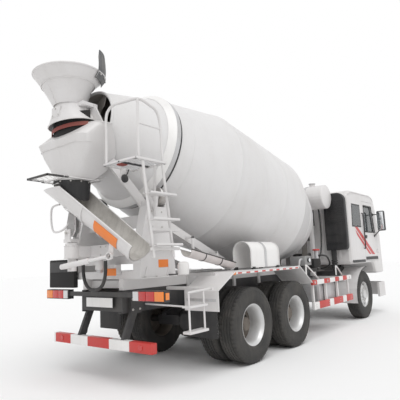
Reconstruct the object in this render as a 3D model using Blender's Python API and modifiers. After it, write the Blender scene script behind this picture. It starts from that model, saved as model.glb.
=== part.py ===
"""Concrete mixer truck: a three-axle cab-over chassis that carries a revolving drum.

The frame is +X forward, +Y left and +Z up, in metres. The origin lies on the ground,
under the middle of the truck.
"""

import math

import bmesh
import bpy
from mathutils import Matrix, Vector

# ---------------------------------------------------------------- driving sizes

LENGTH = 9.30
WIDTH = 2.50
GAP = 0.0003
BORE_GAP = 0.001
RUNNING_GAP = 0.006

REAR_AXLE_X = -1.90
AXLE_SPACING = 1.35
MIDDLE_AXLE_X = REAR_AXLE_X + AXLE_SPACING
WHEELBASE = 3.69
FRONT_AXLE_X = MIDDLE_AXLE_X + WHEELBASE
TYRE_RADIUS = 0.545
TYRE_WIDTH = 0.300
RIM_RADIUS = 0.285
FRONT_TRACK = 2.04
TWIN_TRACK = 1.83
TWIN_SPACING = 0.345
AXLE_Z = TYRE_RADIUS
SPINDLE_RADIUS = 0.045

FRAME_REAR_X = -3.70
FRAME_FRONT_X = 4.30
RAIL_TOP = 1.170
RAIL_HEIGHT = 0.290
RAIL_FLANGE = 0.080
RAIL_WEB = 0.012
FRAME_WIDTH = 0.840
SUBFRAME_HEIGHT = 0.140
SUBFRAME_WIDTH = 0.080
DECK_Z = RAIL_TOP + SUBFRAME_HEIGHT

DRUM_TILT = math.radians(12.0)
RING_X = -3.04
RING_Z = 3.177
RING_RADIUS = 0.895
RING_WIDTH = 0.090
DRUM_RADIUS = 1.170
DRUM_WALL = 0.012
MOUTH_RADIUS = 0.520
NECK_RADIUS = 0.850
HEAD_RADIUS = 0.830
MOUTH_S = -0.90
BELLY_REAR_S = 1.20
BELLY_FRONT_S = 3.34
HEAD_S = 4.45
ROLLER_RADIUS = 0.125
ROLLER_WIDTH = 0.110
ROLLER_ANGLE = math.radians(38.0)

CAB_REAR_X = 2.30
CAB_FRONT_X = 4.52
CAB_FLOOR_Z = 1.27
CAB_ROOF_Z = 2.98
CAB_WIDTH = 2.46
CAB_WALL = 0.060
CAB_NOSE_Z = 1.00
CAB_PIVOT_X = 4.25
CAB_PIVOT_Z = 0.98
CAB_PIN_RADIUS = 0.020
DOOR_REAR_X = 3.21
DOOR_FRONT_X = 4.14
DOOR_TOP_Z = 2.76
DOOR_GAP = 0.006
WINDOW_SILL_Z = 2.02

SWIVEL_X = -4.15
SWIVEL_RADIUS = 0.055
CHUTE_YAW = math.radians(-80.0)
CHUTE_SLOPE = math.radians(37.2)
CHUTE_RADIUS = 0.28
CHUTE_END_RADIUS = 0.20
CHUTE_WALL = 0.012
CHUTE_TOP_Z = 2.49
TILT_PIN_Z = 1.92
TILT_PIN_RADIUS = 0.020

# ---------------------------------------------------------------- finishes

FINISHES = {
    # name: (colour, roughness, metallic)
    "body_paint": ((0.80, 0.80, 0.80, 1), 0.35, 0.0),
    "black_paint": ((0.03, 0.03, 0.035, 1), 0.5, 0.0),
    "wheel_silver": ((0.55, 0.56, 0.58, 1), 0.4, 0.6),
    "tyre_rubber": ((0.025, 0.025, 0.027, 1), 0.85, 0.0),
    "guard_red": ((0.75, 0.05, 0.05, 1), 0.4, 0.0),
    "bare_steel": ((0.35, 0.35, 0.36, 1), 0.45, 0.8),
    "black_plastic": ((0.04, 0.04, 0.04, 1), 0.6, 0.0),
    "lamp_red": ((0.7, 0.03, 0.02, 1), 0.2, 0.0),
    "glass": ((0.25, 0.30, 0.32, 1), 0.05, 0.0),
    "seat_cloth": ((0.16, 0.16, 0.17, 1), 0.9, 0.0),
}

# ---------------------------------------------------------------- scene

for thing in list(bpy.data.objects):
    bpy.data.objects.remove(thing, do_unlink=True)
TRUCK = bpy.data.collections.new("concrete_mixer_truck")
bpy.context.scene.collection.children.link(TRUCK)


def paint(finish):
    """The material of one finish, made on first use."""
    if finish in bpy.data.materials:
        return bpy.data.materials[finish]
    colour, roughness, metallic = FINISHES[finish]
    material = bpy.data.materials.new(finish)
    material.use_nodes = True
    shader = material.node_tree.nodes["Principled BSDF"]
    shader.inputs["Base Color"].default_value = colour
    shader.inputs["Roughness"].default_value = roughness
    shader.inputs["Metallic"].default_value = metallic
    return material


# ---------------------------------------------------------------- shapes


def placed(mesh):
    """A mesh as an object in the truck's collection."""
    item = bpy.data.objects.new("shape", mesh)
    TRUCK.objects.link(item)
    return item


def settled(item):
    """The item with its modifiers or curve made into one welded mesh that faces outwards."""
    graph = bpy.context.evaluated_depsgraph_get()
    mesh = bpy.data.meshes.new_from_object(item.evaluated_get(graph))
    mesh.transform(item.matrix_world)
    bpy.data.objects.remove(item, do_unlink=True)
    shape = bmesh.new()
    shape.from_mesh(mesh)
    bmesh.ops.remove_doubles(shape, verts=shape.verts, dist=0.00002)
    bmesh.ops.recalc_face_normals(shape, faces=shape.faces)
    shape.to_mesh(mesh)
    shape.free()
    return placed(mesh)


def box(low, high, turn=None, pivot=None):
    """A box between two corners, turned by a matrix about a pivot."""
    low, high = Vector(low), Vector(high)
    shape = bmesh.new()
    bmesh.ops.create_cube(shape, size=1.0)
    bmesh.ops.scale(shape, vec=high - low, verts=shape.verts)
    bmesh.ops.translate(shape, vec=(low + high) / 2, verts=shape.verts)
    if turn is not None:
        about = Matrix.Translation(Vector(pivot))
        bmesh.ops.transform(shape, matrix=about @ turn @ about.inverted(), verts=shape.verts)
    mesh = bpy.data.meshes.new("box")
    shape.to_mesh(mesh)
    shape.free()
    return placed(mesh)


def beam(start, end, width, height):
    """A straight rectangular bar. Its height lies in the upright plane through it."""
    start, end = Vector(start), Vector(end)
    along = end - start
    side = Vector((0, 0, 1)).cross(along.normalized())
    if side.length < 0.01:
        side = Vector((0, 1, 0))
    side.normalize()
    top = along.normalized().cross(side)
    turn = Matrix((along.normalized(), side, top)).transposed().to_4x4()
    half = Vector((along.length, width, height)) / 2
    shape = bmesh.new()
    bmesh.ops.create_cube(shape, size=1.0)
    bmesh.ops.scale(shape, vec=half * 2, verts=shape.verts)
    bmesh.ops.transform(shape, matrix=Matrix.Translation((start + end) / 2) @ turn, verts=shape.verts)
    mesh = bpy.data.meshes.new("beam")
    shape.to_mesh(mesh)
    shape.free()
    return placed(mesh)


def rod(start, end, radius, sides=12, end_radius=None):
    """A round bar, or a cone when its end radius differs."""
    start, end = Vector(start), Vector(end)
    along = end - start
    shape = bmesh.new()
    bmesh.ops.create_cone(
        shape,
        cap_ends=True,
        segments=sides,
        radius1=radius,
        radius2=radius if end_radius is None else end_radius,
        depth=along.length,
    )
    turn = along.to_track_quat("Z", "Y").to_matrix().to_4x4()
    bmesh.ops.transform(shape, matrix=Matrix.Translation((start + end) / 2) @ turn, verts=shape.verts)
    mesh = bpy.data.meshes.new("rod")
    shape.to_mesh(mesh)
    shape.free()
    return placed(mesh)


def tube(points, radius, resolution=1):
    """A round rail along straight runs between points."""
    curve = bpy.data.curves.new("tube", "CURVE")
    curve.dimensions = "3D"
    curve.bevel_depth = radius
    curve.bevel_resolution = resolution
    curve.use_fill_caps = True
    run = curve.splines.new("POLY")
    run.points.add(len(points) - 1)
    for point, place in zip(run.points, points):
        point.co = (*place, 1)
    return settled(placed(curve))


def outline(points, low, high, plane="XZ"):
    """A flat outline, extruded from low to high across its plane."""
    curve = bpy.data.curves.new("outline", "CURVE")
    curve.dimensions = "2D"
    curve.fill_mode = "BOTH"
    curve.extrude = (high - low) / 2
    run = curve.splines.new("POLY")
    run.points.add(len(points) - 1)
    for point, place in zip(run.points, points):
        point.co = (*place, 0, 1)
    run.use_cyclic_u = True
    item = placed(curve)
    middle = (low + high) / 2
    turns = {
        "XY": Matrix.Translation((0, 0, middle)),
        "XZ": Matrix.Translation((0, middle, 0)) @ Matrix.Rotation(math.pi / 2, 4, "X"),
        "YZ": Matrix.Translation((middle, 0, 0))
        @ Matrix.Rotation(math.pi / 2, 4, "Z")
        @ Matrix.Rotation(math.pi / 2, 4, "X"),
    }
    item.matrix_world = turns[plane]
    bpy.context.view_layer.update()
    return settled(item)


def turned(profile, centre, axis, sides=32, closed=True, phase=0.0):
    """A turned shape. Each profile point is (radius, distance along the axis)."""
    mesh = bpy.data.meshes.new("profile")
    points = [(radius, 0.0, height) for radius, height in profile]
    count = len(points)
    edges = [(i, (i + 1) % count) for i in range(count if closed else count - 1)]
    mesh.from_pydata(points, edges, [])
    item = placed(mesh)
    screw = item.modifiers.new("turn", "SCREW")
    screw.steps = sides
    screw.render_steps = sides
    screw.use_merge_vertices = True
    screw.merge_threshold = 0.00005
    turn = Vector(axis).to_track_quat("Z", "Y").to_matrix().to_4x4()
    item.matrix_world = Matrix.Translation(Vector(centre)) @ turn @ Matrix.Rotation(phase, 4, "Z")
    bpy.context.view_layer.update()
    return settled(item)


def rounded(item, width, segments=2, angle=40):
    """The item with its sharp edges rounded."""
    bevel = item.modifiers.new("round", "BEVEL")
    bevel.width = width
    bevel.segments = segments
    bevel.limit_method = "ANGLE"
    bevel.angle_limit = math.radians(angle)
    return settled(item)


def mirrored(item):
    """A second item on the truck's other side."""
    mesh = item.data.copy()
    mesh.transform(Matrix.Scale(-1, 4, (0, 1, 0)))
    mesh.flip_normals()
    return placed(mesh)


def both_sides(item):
    return [item, mirrored(item)]


def part(name, finish, joined, cut=(), added=(), bored=()):
    """One named sub-part: shapes joined and cut, then more joined and cut."""
    base = joined[0]
    steps = (("UNION", joined[1:]), ("DIFFERENCE", cut), ("UNION", added), ("DIFFERENCE", bored))
    for kind, others in steps:
        for other in others:
            step = base.modifiers.new(kind.lower(), "BOOLEAN")
            step.operation = kind
            step.object = other
            step.solver = "EXACT"
    if base.modifiers:
        base = settled(base)
    for other in [other for kind, others in steps for other in others]:
        bpy.data.objects.remove(other, do_unlink=True)
    base.name = name
    base.data.name = name
    base.data.materials.clear()
    base.data.materials.append(paint(finish))
    base.data.shade_smooth()
    base.data.set_sharp_from_angle(angle=math.radians(35))
    return base


def named(side):
    return "left" if side > 0 else "right"


# ---------------------------------------------------------------- chassis frame

RAIL_BOTTOM = RAIL_TOP - RAIL_HEIGHT
RAIL_INNER = FRAME_WIDTH / 2 - RAIL_FLANGE
# x of each cross-member, half its length along X, its lowest and highest point
CROSS_MEMBERS = (
    (FRAME_REAR_X + 0.05, 0.05, RAIL_BOTTOM + 0.02, RAIL_TOP - 0.03),
    (REAR_AXLE_X - 0.50, 0.06, RAIL_BOTTOM + 0.06, RAIL_TOP - 0.05),
    ((REAR_AXLE_X + MIDDLE_AXLE_X) / 2, 0.09, RAIL_BOTTOM + 0.04, RAIL_TOP - 0.05),
    (MIDDLE_AXLE_X + 0.75, 0.06, RAIL_BOTTOM + 0.14, RAIL_TOP - 0.05),
    (MIDDLE_AXLE_X + 1.75, 0.06, RAIL_BOTTOM + 0.14, RAIL_TOP - 0.05),
    (FRAME_FRONT_X - 0.06, 0.06, RAIL_BOTTOM + 0.03, RAIL_TOP - 0.03),
)


def build_frame():
    outer = FRAME_WIDTH / 2
    channel = [
        (outer, RAIL_BOTTOM),
        (outer, RAIL_TOP),
        (RAIL_INNER, RAIL_TOP),
        (RAIL_INNER, RAIL_TOP - RAIL_WEB),
        (outer - RAIL_WEB, RAIL_TOP - RAIL_WEB),
        (outer - RAIL_WEB, RAIL_BOTTOM + RAIL_WEB),
        (RAIL_INNER, RAIL_BOTTOM + RAIL_WEB),
        (RAIL_INNER, RAIL_BOTTOM),
    ]
    pieces = both_sides(outline(channel, FRAME_REAR_X, FRAME_FRONT_X, "YZ"))
    for side in (1, -1):
        near = Vector((CAB_PIVOT_X, side * (outer - RAIL_WEB / 2), CAB_PIVOT_Z))
        pieces.append(rod(near, near + Vector((0, side * 0.15, 0)), CAB_PIN_RADIUS))
    reach = outer - RAIL_WEB / 2
    for x, half, low, high in CROSS_MEMBERS:
        pieces.append(box((x - half, -reach, low), (x + half, reach, high)))
    part("chassis_frame", "black_paint", pieces)


SUBFRAME_REAR_X = FRAME_REAR_X + 0.02
SUBFRAME_FRONT_X = 1.95
SUBFRAME_CROSS_X = (-3.55, -1.20, 0.60, 1.80)


def build_subframe():
    low = RAIL_TOP + GAP
    outer = FRAME_WIDTH / 2 - 0.002
    beams = both_sides(
        box((SUBFRAME_REAR_X, outer - SUBFRAME_WIDTH, low), (SUBFRAME_FRONT_X, outer, DECK_Z))
    )
    for x in SUBFRAME_CROSS_X:
        beams.append(box((x - 0.04, -outer + 0.02, low + 0.02), (x + 0.04, outer - 0.02, DECK_Z - 0.02)))
    part("subframe", "body_paint", beams)


# ---------------------------------------------------------------- axles, springs and drive line

SPRING_Y = 0.50
FRONT_SPRING_Y = 0.385
SPRING_WIDTH = 0.085
FRONT_SPRING_THICKNESS = 0.09
FRONT_BEAM_Z = 0.47
KINGPIN_Y = 0.80
KINGPIN_RADIUS = 0.026
TRUNNION_X = (REAR_AXLE_X + MIDDLE_AXLE_X) / 2


def build_front_axle():
    """A dropped beam with the two leaf springs clamped on it, right below the frame's rails."""
    x = FRONT_AXLE_X
    pieces = [box((x - 0.05, -0.56, FRONT_BEAM_Z - 0.07), (x + 0.05, 0.56, FRONT_BEAM_Z + 0.05))]
    low_z = FRONT_BEAM_Z + 0.04
    ear_z = RAIL_BOTTOM - 0.060
    for side in (1, -1):
        low, high = sorted((side * 0.64, side * KINGPIN_Y))
        pieces.append(beam((x, side * 0.50, FRONT_BEAM_Z), (x, side * 0.68, AXLE_Z), 0.088, 0.10))
        pieces.append(box((x - 0.045, low, AXLE_Z - 0.05), (x + 0.045, high, AXLE_Z + 0.05)))
        eye = Vector((x, side * KINGPIN_Y, AXLE_Z))
        up = Vector((0, 0, 1))
        pieces.append(rod(eye - up * 0.055, eye + up * 0.055, 0.05))
        pieces.append(rod(eye - up * 0.12, eye + up * 0.12, KINGPIN_RADIUS))
        leaf = [
            (x - 0.80, ear_z),
            (x - 0.40, low_z + 0.13),
            (x - 0.10, low_z),
            (x + 0.10, low_z),
            (x + 0.40, low_z + 0.13),
            (x + 0.80, ear_z),
            (x + 0.80, ear_z + 0.025),
            (x + 0.40, low_z + 0.20),
            (x + 0.10, low_z + FRONT_SPRING_THICKNESS),
            (x - 0.10, low_z + FRONT_SPRING_THICKNESS),
            (x - 0.40, low_z + 0.20),
            (x - 0.80, ear_z + 0.025),
        ]
        inner = side * FRONT_SPRING_Y - SPRING_WIDTH / 2
        pieces.append(outline(leaf, inner, inner + SPRING_WIDTH))
        for ear_x in (x - 0.78, x + 0.78):
            pieces.append(
                box(
                    (ear_x - 0.05, inner + 0.01, ear_z - 0.005),
                    (ear_x + 0.05, inner + SPRING_WIDTH - 0.01, RAIL_BOTTOM - GAP),
                )
            )
    part("front_axle", "black_paint", pieces)


def build_knuckles():
    """A forked knuckle with its stub axle on each side."""
    for side in (1, -1):
        y = side * KINGPIN_Y
        pieces = []
        for low, high in ((AXLE_Z + 0.061, AXLE_Z + 0.115), (AXLE_Z - 0.115, AXLE_Z - 0.061)):
            pieces.append(
                box((FRONT_AXLE_X - 0.055, y - 0.05, low), (FRONT_AXLE_X + 0.055, y + 0.05, high))
            )
        near, far = y + side * 0.054, y + side * 0.10
        pieces.append(
            box(
                (FRONT_AXLE_X - 0.075, min(near, far), AXLE_Z - 0.115),
                (FRONT_AXLE_X + 0.075, max(near, far), AXLE_Z + 0.115),
            )
        )
        for low in (AXLE_Z - 0.115, AXLE_Z + 0.061):
            inner, outer = y + side * 0.03, y + side * 0.07
            pieces.append(
                box(
                    (FRONT_AXLE_X - 0.05, min(inner, outer), low + 0.002),
                    (FRONT_AXLE_X + 0.05, max(inner, outer), low + 0.052),
                )
            )
        tip = side * (FRONT_TRACK / 2 + 0.02)
        pieces.append(
            rod((FRONT_AXLE_X, y + side * 0.08, AXLE_Z), (FRONT_AXLE_X, tip, AXLE_Z), SPINDLE_RADIUS)
        )
        bore = rod(
            (FRONT_AXLE_X, y, AXLE_Z - 0.2), (FRONT_AXLE_X, y, AXLE_Z + 0.2), KINGPIN_RADIUS + BORE_GAP
        )
        part(f"{named(side)}_knuckle", "bare_steel", pieces, [bore])


def build_drive_axles():
    """Two driven axles: a casing with its round differential and a tube to each wheel."""
    reach = TWIN_TRACK / 2 + TWIN_SPACING / 2
    for name, x, nose in (("middle_axle", MIDDLE_AXLE_X, 1), ("rear_axle", REAR_AXLE_X, 1)):
        casing = [
            (0.0, 0.16),
            (0.14, 0.15),
            (0.20, 0.08),
            (0.20, -0.06),
            (0.12, -0.14),
            (0.0, -0.15),
        ]
        pieces = [
            rod((x, -reach, AXLE_Z), (x, reach, AXLE_Z), SPINDLE_RADIUS + 0.01),
            box((x - 0.075, -0.66, AXLE_Z - 0.075), (x + 0.075, 0.66, AXLE_Z + 0.075)),
            turned(casing, (x, 0.0, AXLE_Z), (nose, 0, 0.0), 24, closed=False),
            rod((x + 0.12, 0.0, AXLE_Z + 0.02), (x + 0.30, 0.0, AXLE_Z + 0.04), 0.07),
        ]
        part(name, "black_paint", pieces)


def build_tandem_springs():
    """An upturned leaf spring on each side, on a trunnion between the two driven axles."""
    for side in (1, -1):
        inner = side * SPRING_Y - SPRING_WIDTH / 2
        seat = AXLE_Z + 0.075 + GAP
        peak = AXLE_Z + 0.24
        leaf = [
            (REAR_AXLE_X - 0.09, seat),
            (REAR_AXLE_X + 0.12, seat),
            (TRUNNION_X - 0.12, peak - 0.10),
            (TRUNNION_X + 0.12, peak - 0.10),
            (MIDDLE_AXLE_X - 0.12, seat),
            (MIDDLE_AXLE_X + 0.09, seat),
            (MIDDLE_AXLE_X + 0.09, seat + 0.05),
            (TRUNNION_X + 0.14, peak + 0.03),
            (TRUNNION_X - 0.14, peak + 0.03),
            (REAR_AXLE_X - 0.09, seat + 0.05),
        ]
        near, far = side * (FRAME_WIDTH / 2 + GAP), side * (SPRING_Y + SPRING_WIDTH / 2 - 0.003)
        hanger = box(
            (TRUNNION_X - 0.13, min(near, far), peak - 0.06), (
                TRUNNION_X + 0.13, max(near, far), RAIL_BOTTOM + 0.14
            )
        )
        part(
            f"{named(side)}_tandem_spring",
            "black_paint",
            [outline(leaf, inner, inner + SPRING_WIDTH), hanger],
        )


ENGINE_LOW = (2.55, -0.33, 0.66)
ENGINE_HIGH = (3.95, 0.33, 1.48)
GEARBOX_REAR_X = 1.75


def build_drive_line():
    engine = rounded(box(ENGINE_LOW, ENGINE_HIGH), 0.04, 1)
    housing = rod((GEARBOX_REAR_X, 0, 0.92), (ENGINE_LOW[0] + 0.05, 0, 0.95), 0.17, 20, 0.26)
    mount = FRAME_WIDTH / 2 - RAIL_WEB - GAP
    mounts = [
        box((x - 0.05, -mount, 1.02), (x + 0.05, mount, 1.08)) for x in (2.75, 3.75)
    ]
    part("engine_block", "bare_steel", [engine, housing] + mounts)
    start = Vector((GEARBOX_REAR_X - GAP, 0, 0.92))
    end = Vector((MIDDLE_AXLE_X + 0.30 + GAP, 0.0, AXLE_Z + 0.04))
    along = (start - end).normalized()
    shaft = rod(end + along * 0.03, start - along * 0.03, 0.050)
    part(
        "propeller_shaft",
        "bare_steel",
        [
            shaft,
            rod(end + along * 0.0088, end + along * 0.09, 0.065, 12),
            rod(start - along * 0.0088, start - along * 0.09, 0.065, 12),
        ],
    )


# ---------------------------------------------------------------- wheels


WHEEL_SIDES = 20
FLAT_DOWN = math.pi / WHEEL_SIDES


def tyre_section(middle):
    """A tyre's outline as (radius, offset) points, from its outer bead to its inner bead."""
    half = TYRE_WIDTH / 2
    tread = TYRE_RADIUS / math.cos(math.pi / WHEEL_SIDES)
    return [
        (RIM_RADIUS, middle + half * 0.75),
        (tread - 0.13, middle + half),
        (tread, middle + half * 0.78),
        (tread, middle - half * 0.78),
        (tread - 0.13, middle - half),
        (RIM_RADIUS, middle - half * 0.75),
    ]


def build_front_wheels():
    """A dished disc wheel with its hub, and the tyre on it."""
    bore = SPINDLE_RADIUS + BORE_GAP
    for side in (1, -1):
        centre = (FRONT_AXLE_X, side * FRONT_TRACK / 2, AXLE_Z)
        axis = (0, side, 0)
        profile = tyre_section(0.0) + [
            (RIM_RADIUS - 0.02, -0.105),
            (RIM_RADIUS - 0.035, 0.02),
            (0.17, 0.075),
            (0.15, 0.03),
            (0.15, -0.06),
            (bore, -0.06),
            (bore, 0.12),
            (0.09, 0.12),
            (0.10, 0.10),
            (0.18, 0.095),
            (RIM_RADIUS - 0.03, 0.06),
        ]
        part(
            f"front_{named(side)}_wheel",
            "tyre_rubber",
            [turned(profile, centre, axis, WHEEL_SIDES, phase=FLAT_DOWN)],
        )


def build_twin_wheels():
    """Two tyres side by side on one hub, carried by their rims."""
    bore = SPINDLE_RADIUS + 0.01 + BORE_GAP
    half = TWIN_SPACING / 2
    for row, x in (("rear", REAR_AXLE_X), ("middle", MIDDLE_AXLE_X)):
        for side in (1, -1):
            centre = (x, side * TWIN_TRACK / 2, AXLE_Z)
            web = RIM_RADIUS - 0.03
            profile = (
                tyre_section(half)
                + tyre_section(-half)
                + [
                    (web, -half - 0.105),
                    (web, -0.012),
                    (0.17, -0.012),
                    (0.17, -0.05),
                    (bore, -0.05),
                    (bore, 0.17),
                    (0.10, 0.17),
                    (0.13, 0.08),
                    (0.17, 0.012),
                    (web, 0.012),
                    (web, half + 0.105),
                ]
            )
            part(
                f"{row}_{named(side)}_twin_wheel",
                "tyre_rubber",
                [turned(profile, centre, (0, side, 0), WHEEL_SIDES, phase=FLAT_DOWN)],
            )


# ---------------------------------------------------------------- drum

DRUM_AXIS = Vector((math.cos(DRUM_TILT), 0, -math.sin(DRUM_TILT)))
DRUM_UP = Vector((math.sin(DRUM_TILT), 0, math.cos(DRUM_TILT)))
RING_CENTRE = Vector((RING_X, 0, RING_Z))


def on_drum(s, up=0.0, y=0.0):
    """The point s along the drum's axis from its ring, and up and sideways from the axis."""
    return RING_CENTRE + DRUM_AXIS * s + DRUM_UP * up + Vector((0, y, 0))


DRUM_SIDES = 32
DRUM_PROFILE = (
    # distance along the axis, radius
    (MOUTH_S, MOUTH_RADIUS),
    (0.0, NECK_RADIUS),
    (BELLY_REAR_S, DRUM_RADIUS - 0.01),
    (BELLY_FRONT_S, DRUM_RADIUS),
    (HEAD_S - 0.08, HEAD_RADIUS + 0.02),
    (HEAD_S + 0.08, HEAD_RADIUS - 0.25),
    (HEAD_S + 0.14, 0.30),
    (HEAD_S + 0.16, 0.0),
)


def shell_radius(s):
    """The drum's outer radius at a distance along its axis."""
    for (s0, r0), (s1, r1) in zip(DRUM_PROFILE, DRUM_PROFILE[1:]):
        if s0 <= s <= s1:
            return r0 + (r1 - r0) * (s - s0) / (s1 - s0)
    return 0.0


def build_drum():
    """A steel shell, open at its mouth, with its drive flange, and the track ring round its neck."""
    profile = [(r, s) for s, r in DRUM_PROFILE]
    profile += [
        (max(r - DRUM_WALL, 0.0), s - (DRUM_WALL if r < 0.31 else 0.0)) for s, r in reversed(DRUM_PROFILE)
    ]
    shell = turned(profile, RING_CENTRE, DRUM_AXIS, DRUM_SIDES)
    flange = rod(on_drum(HEAD_S + 0.155), on_drum(HEAD_S + 0.22), 0.20, 20)
    part("drum", "body_paint", [shell, flange])
    half = RING_WIDTH / 2
    ring = [
        (shell_radius(-half) + GAP, -half),
        (RING_RADIUS, -half),
        (RING_RADIUS, half),
        (shell_radius(half) + GAP, half),
        (shell_radius(0.0) + GAP, 0.0),
    ]
    part("drum_ring", "bare_steel", [turned(ring, RING_CENTRE, DRUM_AXIS, DRUM_SIDES)])


ROLLER_REACH = RING_RADIUS + ROLLER_RADIUS + RUNNING_GAP
ROLLER_PIN_RADIUS = 0.03


def roller_centre(side):
    return on_drum(0.0, -ROLLER_REACH * math.cos(ROLLER_ANGLE), side * ROLLER_REACH * math.sin(ROLLER_ANGLE))


def build_rollers():
    for side in (1, -1):
        half = ROLLER_WIDTH / 2
        bore = ROLLER_PIN_RADIUS + BORE_GAP
        profile = [
            (bore, -half),
            (ROLLER_RADIUS - 0.01, -half),
            (ROLLER_RADIUS, -half + 0.01),
            (ROLLER_RADIUS, half - 0.01),
            (ROLLER_RADIUS - 0.01, half),
            (bore, half),
        ]
        part(f"{named(side)}_roller", "bare_steel", [turned(profile, roller_centre(side), DRUM_AXIS, 20)])


# ---------------------------------------------------------------- rear tower

TOWER_Y = 0.66
TOWER_WIDTH = 0.14
TOWER_TOP_Z = 2.235
TOWER_FOOT_REAR_X = -3.66
TOWER_FOOT_FRONT_X = -3.02


def build_tower():
    """Two tapered box columns on the subframe, tied by beams, with a raking stay to each side."""
    pieces = []
    for side in (1, -1):
        column = [
            (TOWER_FOOT_REAR_X, DECK_Z + GAP),
            (TOWER_FOOT_FRONT_X, DECK_Z + GAP),
            (TOWER_FOOT_FRONT_X - 0.02, 1.70),
            (-3.10, TOWER_TOP_Z),
            (-3.52, TOWER_TOP_Z),
            (TOWER_FOOT_REAR_X, 1.70),
        ]
        low = side * TOWER_Y - TOWER_WIDTH / 2
        pieces.append(outline(column, low, low + TOWER_WIDTH))
        pieces.append(beam((-3.16, side * TOWER_Y, 2.02), (-1.40, side * 0.50, DECK_Z + 0.06), 0.09, 0.12))
        middle = roller_centre(side)
        for s in (-ROLLER_WIDTH / 2 - 0.035, ROLLER_WIDTH / 2 + 0.035):
            foot = middle + DRUM_AXIS * s
            pieces.append(
                box(
                    foot + Vector((-0.025, -0.07, TOWER_TOP_Z - foot.z - 0.06)),
                    foot + Vector((0.025, 0.07, 0.04)),
                    Matrix.Rotation(DRUM_TILT, 4, "Y"),
                    foot,
                )
            )
        reach = ROLLER_WIDTH / 2 + 0.07
        pieces.append(rod(middle - DRUM_AXIS * reach, middle + DRUM_AXIS * reach, ROLLER_PIN_RADIUS))
    reach = TOWER_Y - 0.02
    pieces.append(
        box(
            (TOWER_FOOT_REAR_X + 0.01, -reach, DECK_Z + GAP),
            (TOWER_FOOT_FRONT_X - 0.03, reach, DECK_Z + 0.10),
        ),
    )
    pieces.append(box((-3.44, -reach, 1.98), (-3.34, reach, 2.14)))
    pieces.append(box((-3.60, -reach, 1.50), (-3.50, reach, 1.66)))
    part("drum_tower", "body_paint", pieces)


def build_drum_gearbox():
    """The front support: a welded frame with the gearbox that turns the drum."""
    face = HEAD_S + 0.22 + GAP * 2
    back = on_drum(face + 0.50)
    pieces = [
        rod(on_drum(face), on_drum(face + 0.16), 0.21, 20),
        rod(on_drum(face + 0.14), back, 0.28, 20),
    ]
    foot = on_drum(face + 0.30)
    top = foot.z - 0.20
    pieces.append(box((foot.x - 0.17, -0.40, top - 0.10), (foot.x + 0.17, 0.40, top + 0.02)))
    for side in (1, -1):
        pieces.append(
            beam((foot.x, side * 0.33, top - 0.04), (foot.x - 0.12, side * 0.37, DECK_Z + 0.028), 0.10, 0.20)
        )
        pieces.append(
            box(
                (foot.x - 0.26, side * 0.37 - 0.045, DECK_Z + GAP),
                (foot.x - 0.02, side * 0.37 + 0.045, DECK_Z + 0.05),
            )
        )
    part("drum_gearbox", "body_paint", pieces)


# ---------------------------------------------------------------- hopper and funnel

MOUTH_X = on_drum(MOUTH_S).x
MOUTH_Z = on_drum(MOUTH_S).z
HOPPER_Z = 4.00
HOPPER_HALF_LENGTH = 0.46
HOPPER_HALF_WIDTH = 0.47
HOPPER_X = -LENGTH / 2 + HOPPER_HALF_LENGTH
HOPPER_WALL = 0.012
HOPPER_SIDES = 24
# centre x, z, half length, half width of each level from the rim down to the throat
HOPPER_LEVELS = (
    (HOPPER_X, HOPPER_Z, HOPPER_HALF_LENGTH - HOPPER_WALL / 2, HOPPER_HALF_WIDTH),
    (HOPPER_X - 0.02, HOPPER_Z - 0.17, 0.30, 0.36),
    (HOPPER_X + 0.02, HOPPER_Z - 0.42, 0.21, 0.22),
)


def oval(x, z, half_length, half_width):
    """The points of one level oval."""
    turn = 2 * math.pi / HOPPER_SIDES
    return [
        (x + half_length * math.cos(i * turn), half_width * math.sin(i * turn), z)
        for i in range(HOPPER_SIDES)
    ]


def lofted(levels, wall, closed=True):
    """A skin through rows of points, with a wall of its own thickness."""
    mesh = bpy.data.meshes.new("loft")
    count = len(levels[0])
    faces = []
    for k in range(len(levels) - 1):
        for i in range(count if closed else count - 1):
            j = (i + 1) % count
            faces.append((k * count + i, k * count + j, (k + 1) * count + j, (k + 1) * count + i))
    mesh.from_pydata([point for level in levels for point in level], [], faces)
    item = placed(mesh)
    thick = item.modifiers.new("wall", "SOLIDIFY")
    thick.thickness = wall
    thick.offset = 0
    thick.use_even_offset = True
    return settled(item)


def build_hopper():
    """A round scoop with a tongue into the drum's mouth, and a rubber flap on its front edge."""
    bowl = lofted([oval(*level) for level in HOPPER_LEVELS], HOPPER_WALL)
    x, z, half_length, half_width = HOPPER_LEVELS[-1]
    tongue = beam((x - half_length + 0.035, 0, z + 0.031), (MOUTH_X + 0.20, 0, MOUTH_Z + 0.06), 0.36, 0.02)
    front = HOPPER_X + HOPPER_HALF_LENGTH
    flap = box((front - 0.016, -0.17, HOPPER_Z - 0.10), (front - 0.002, 0.17, HOPPER_Z + 0.30))
    part("charging_hopper", "body_paint", [bowl, tongue, flap])


# x rear, x front, half width, z of each level of the collecting funnel
FUNNEL_LEVELS = (
    (-4.17, -3.94, 0.55, 3.28),
    (-4.38, -3.87, 0.53, 3.10),
    (-4.34, -3.80, 0.46, 2.92),
    (-4.31, -3.80, 0.36, 2.76),
    (-4.30, -3.98, 0.22, 2.585),
)
FUNNEL_WALL = 0.012
OUTLET_RADIUS = 0.225
HANGER_Y = 0.50


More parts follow.
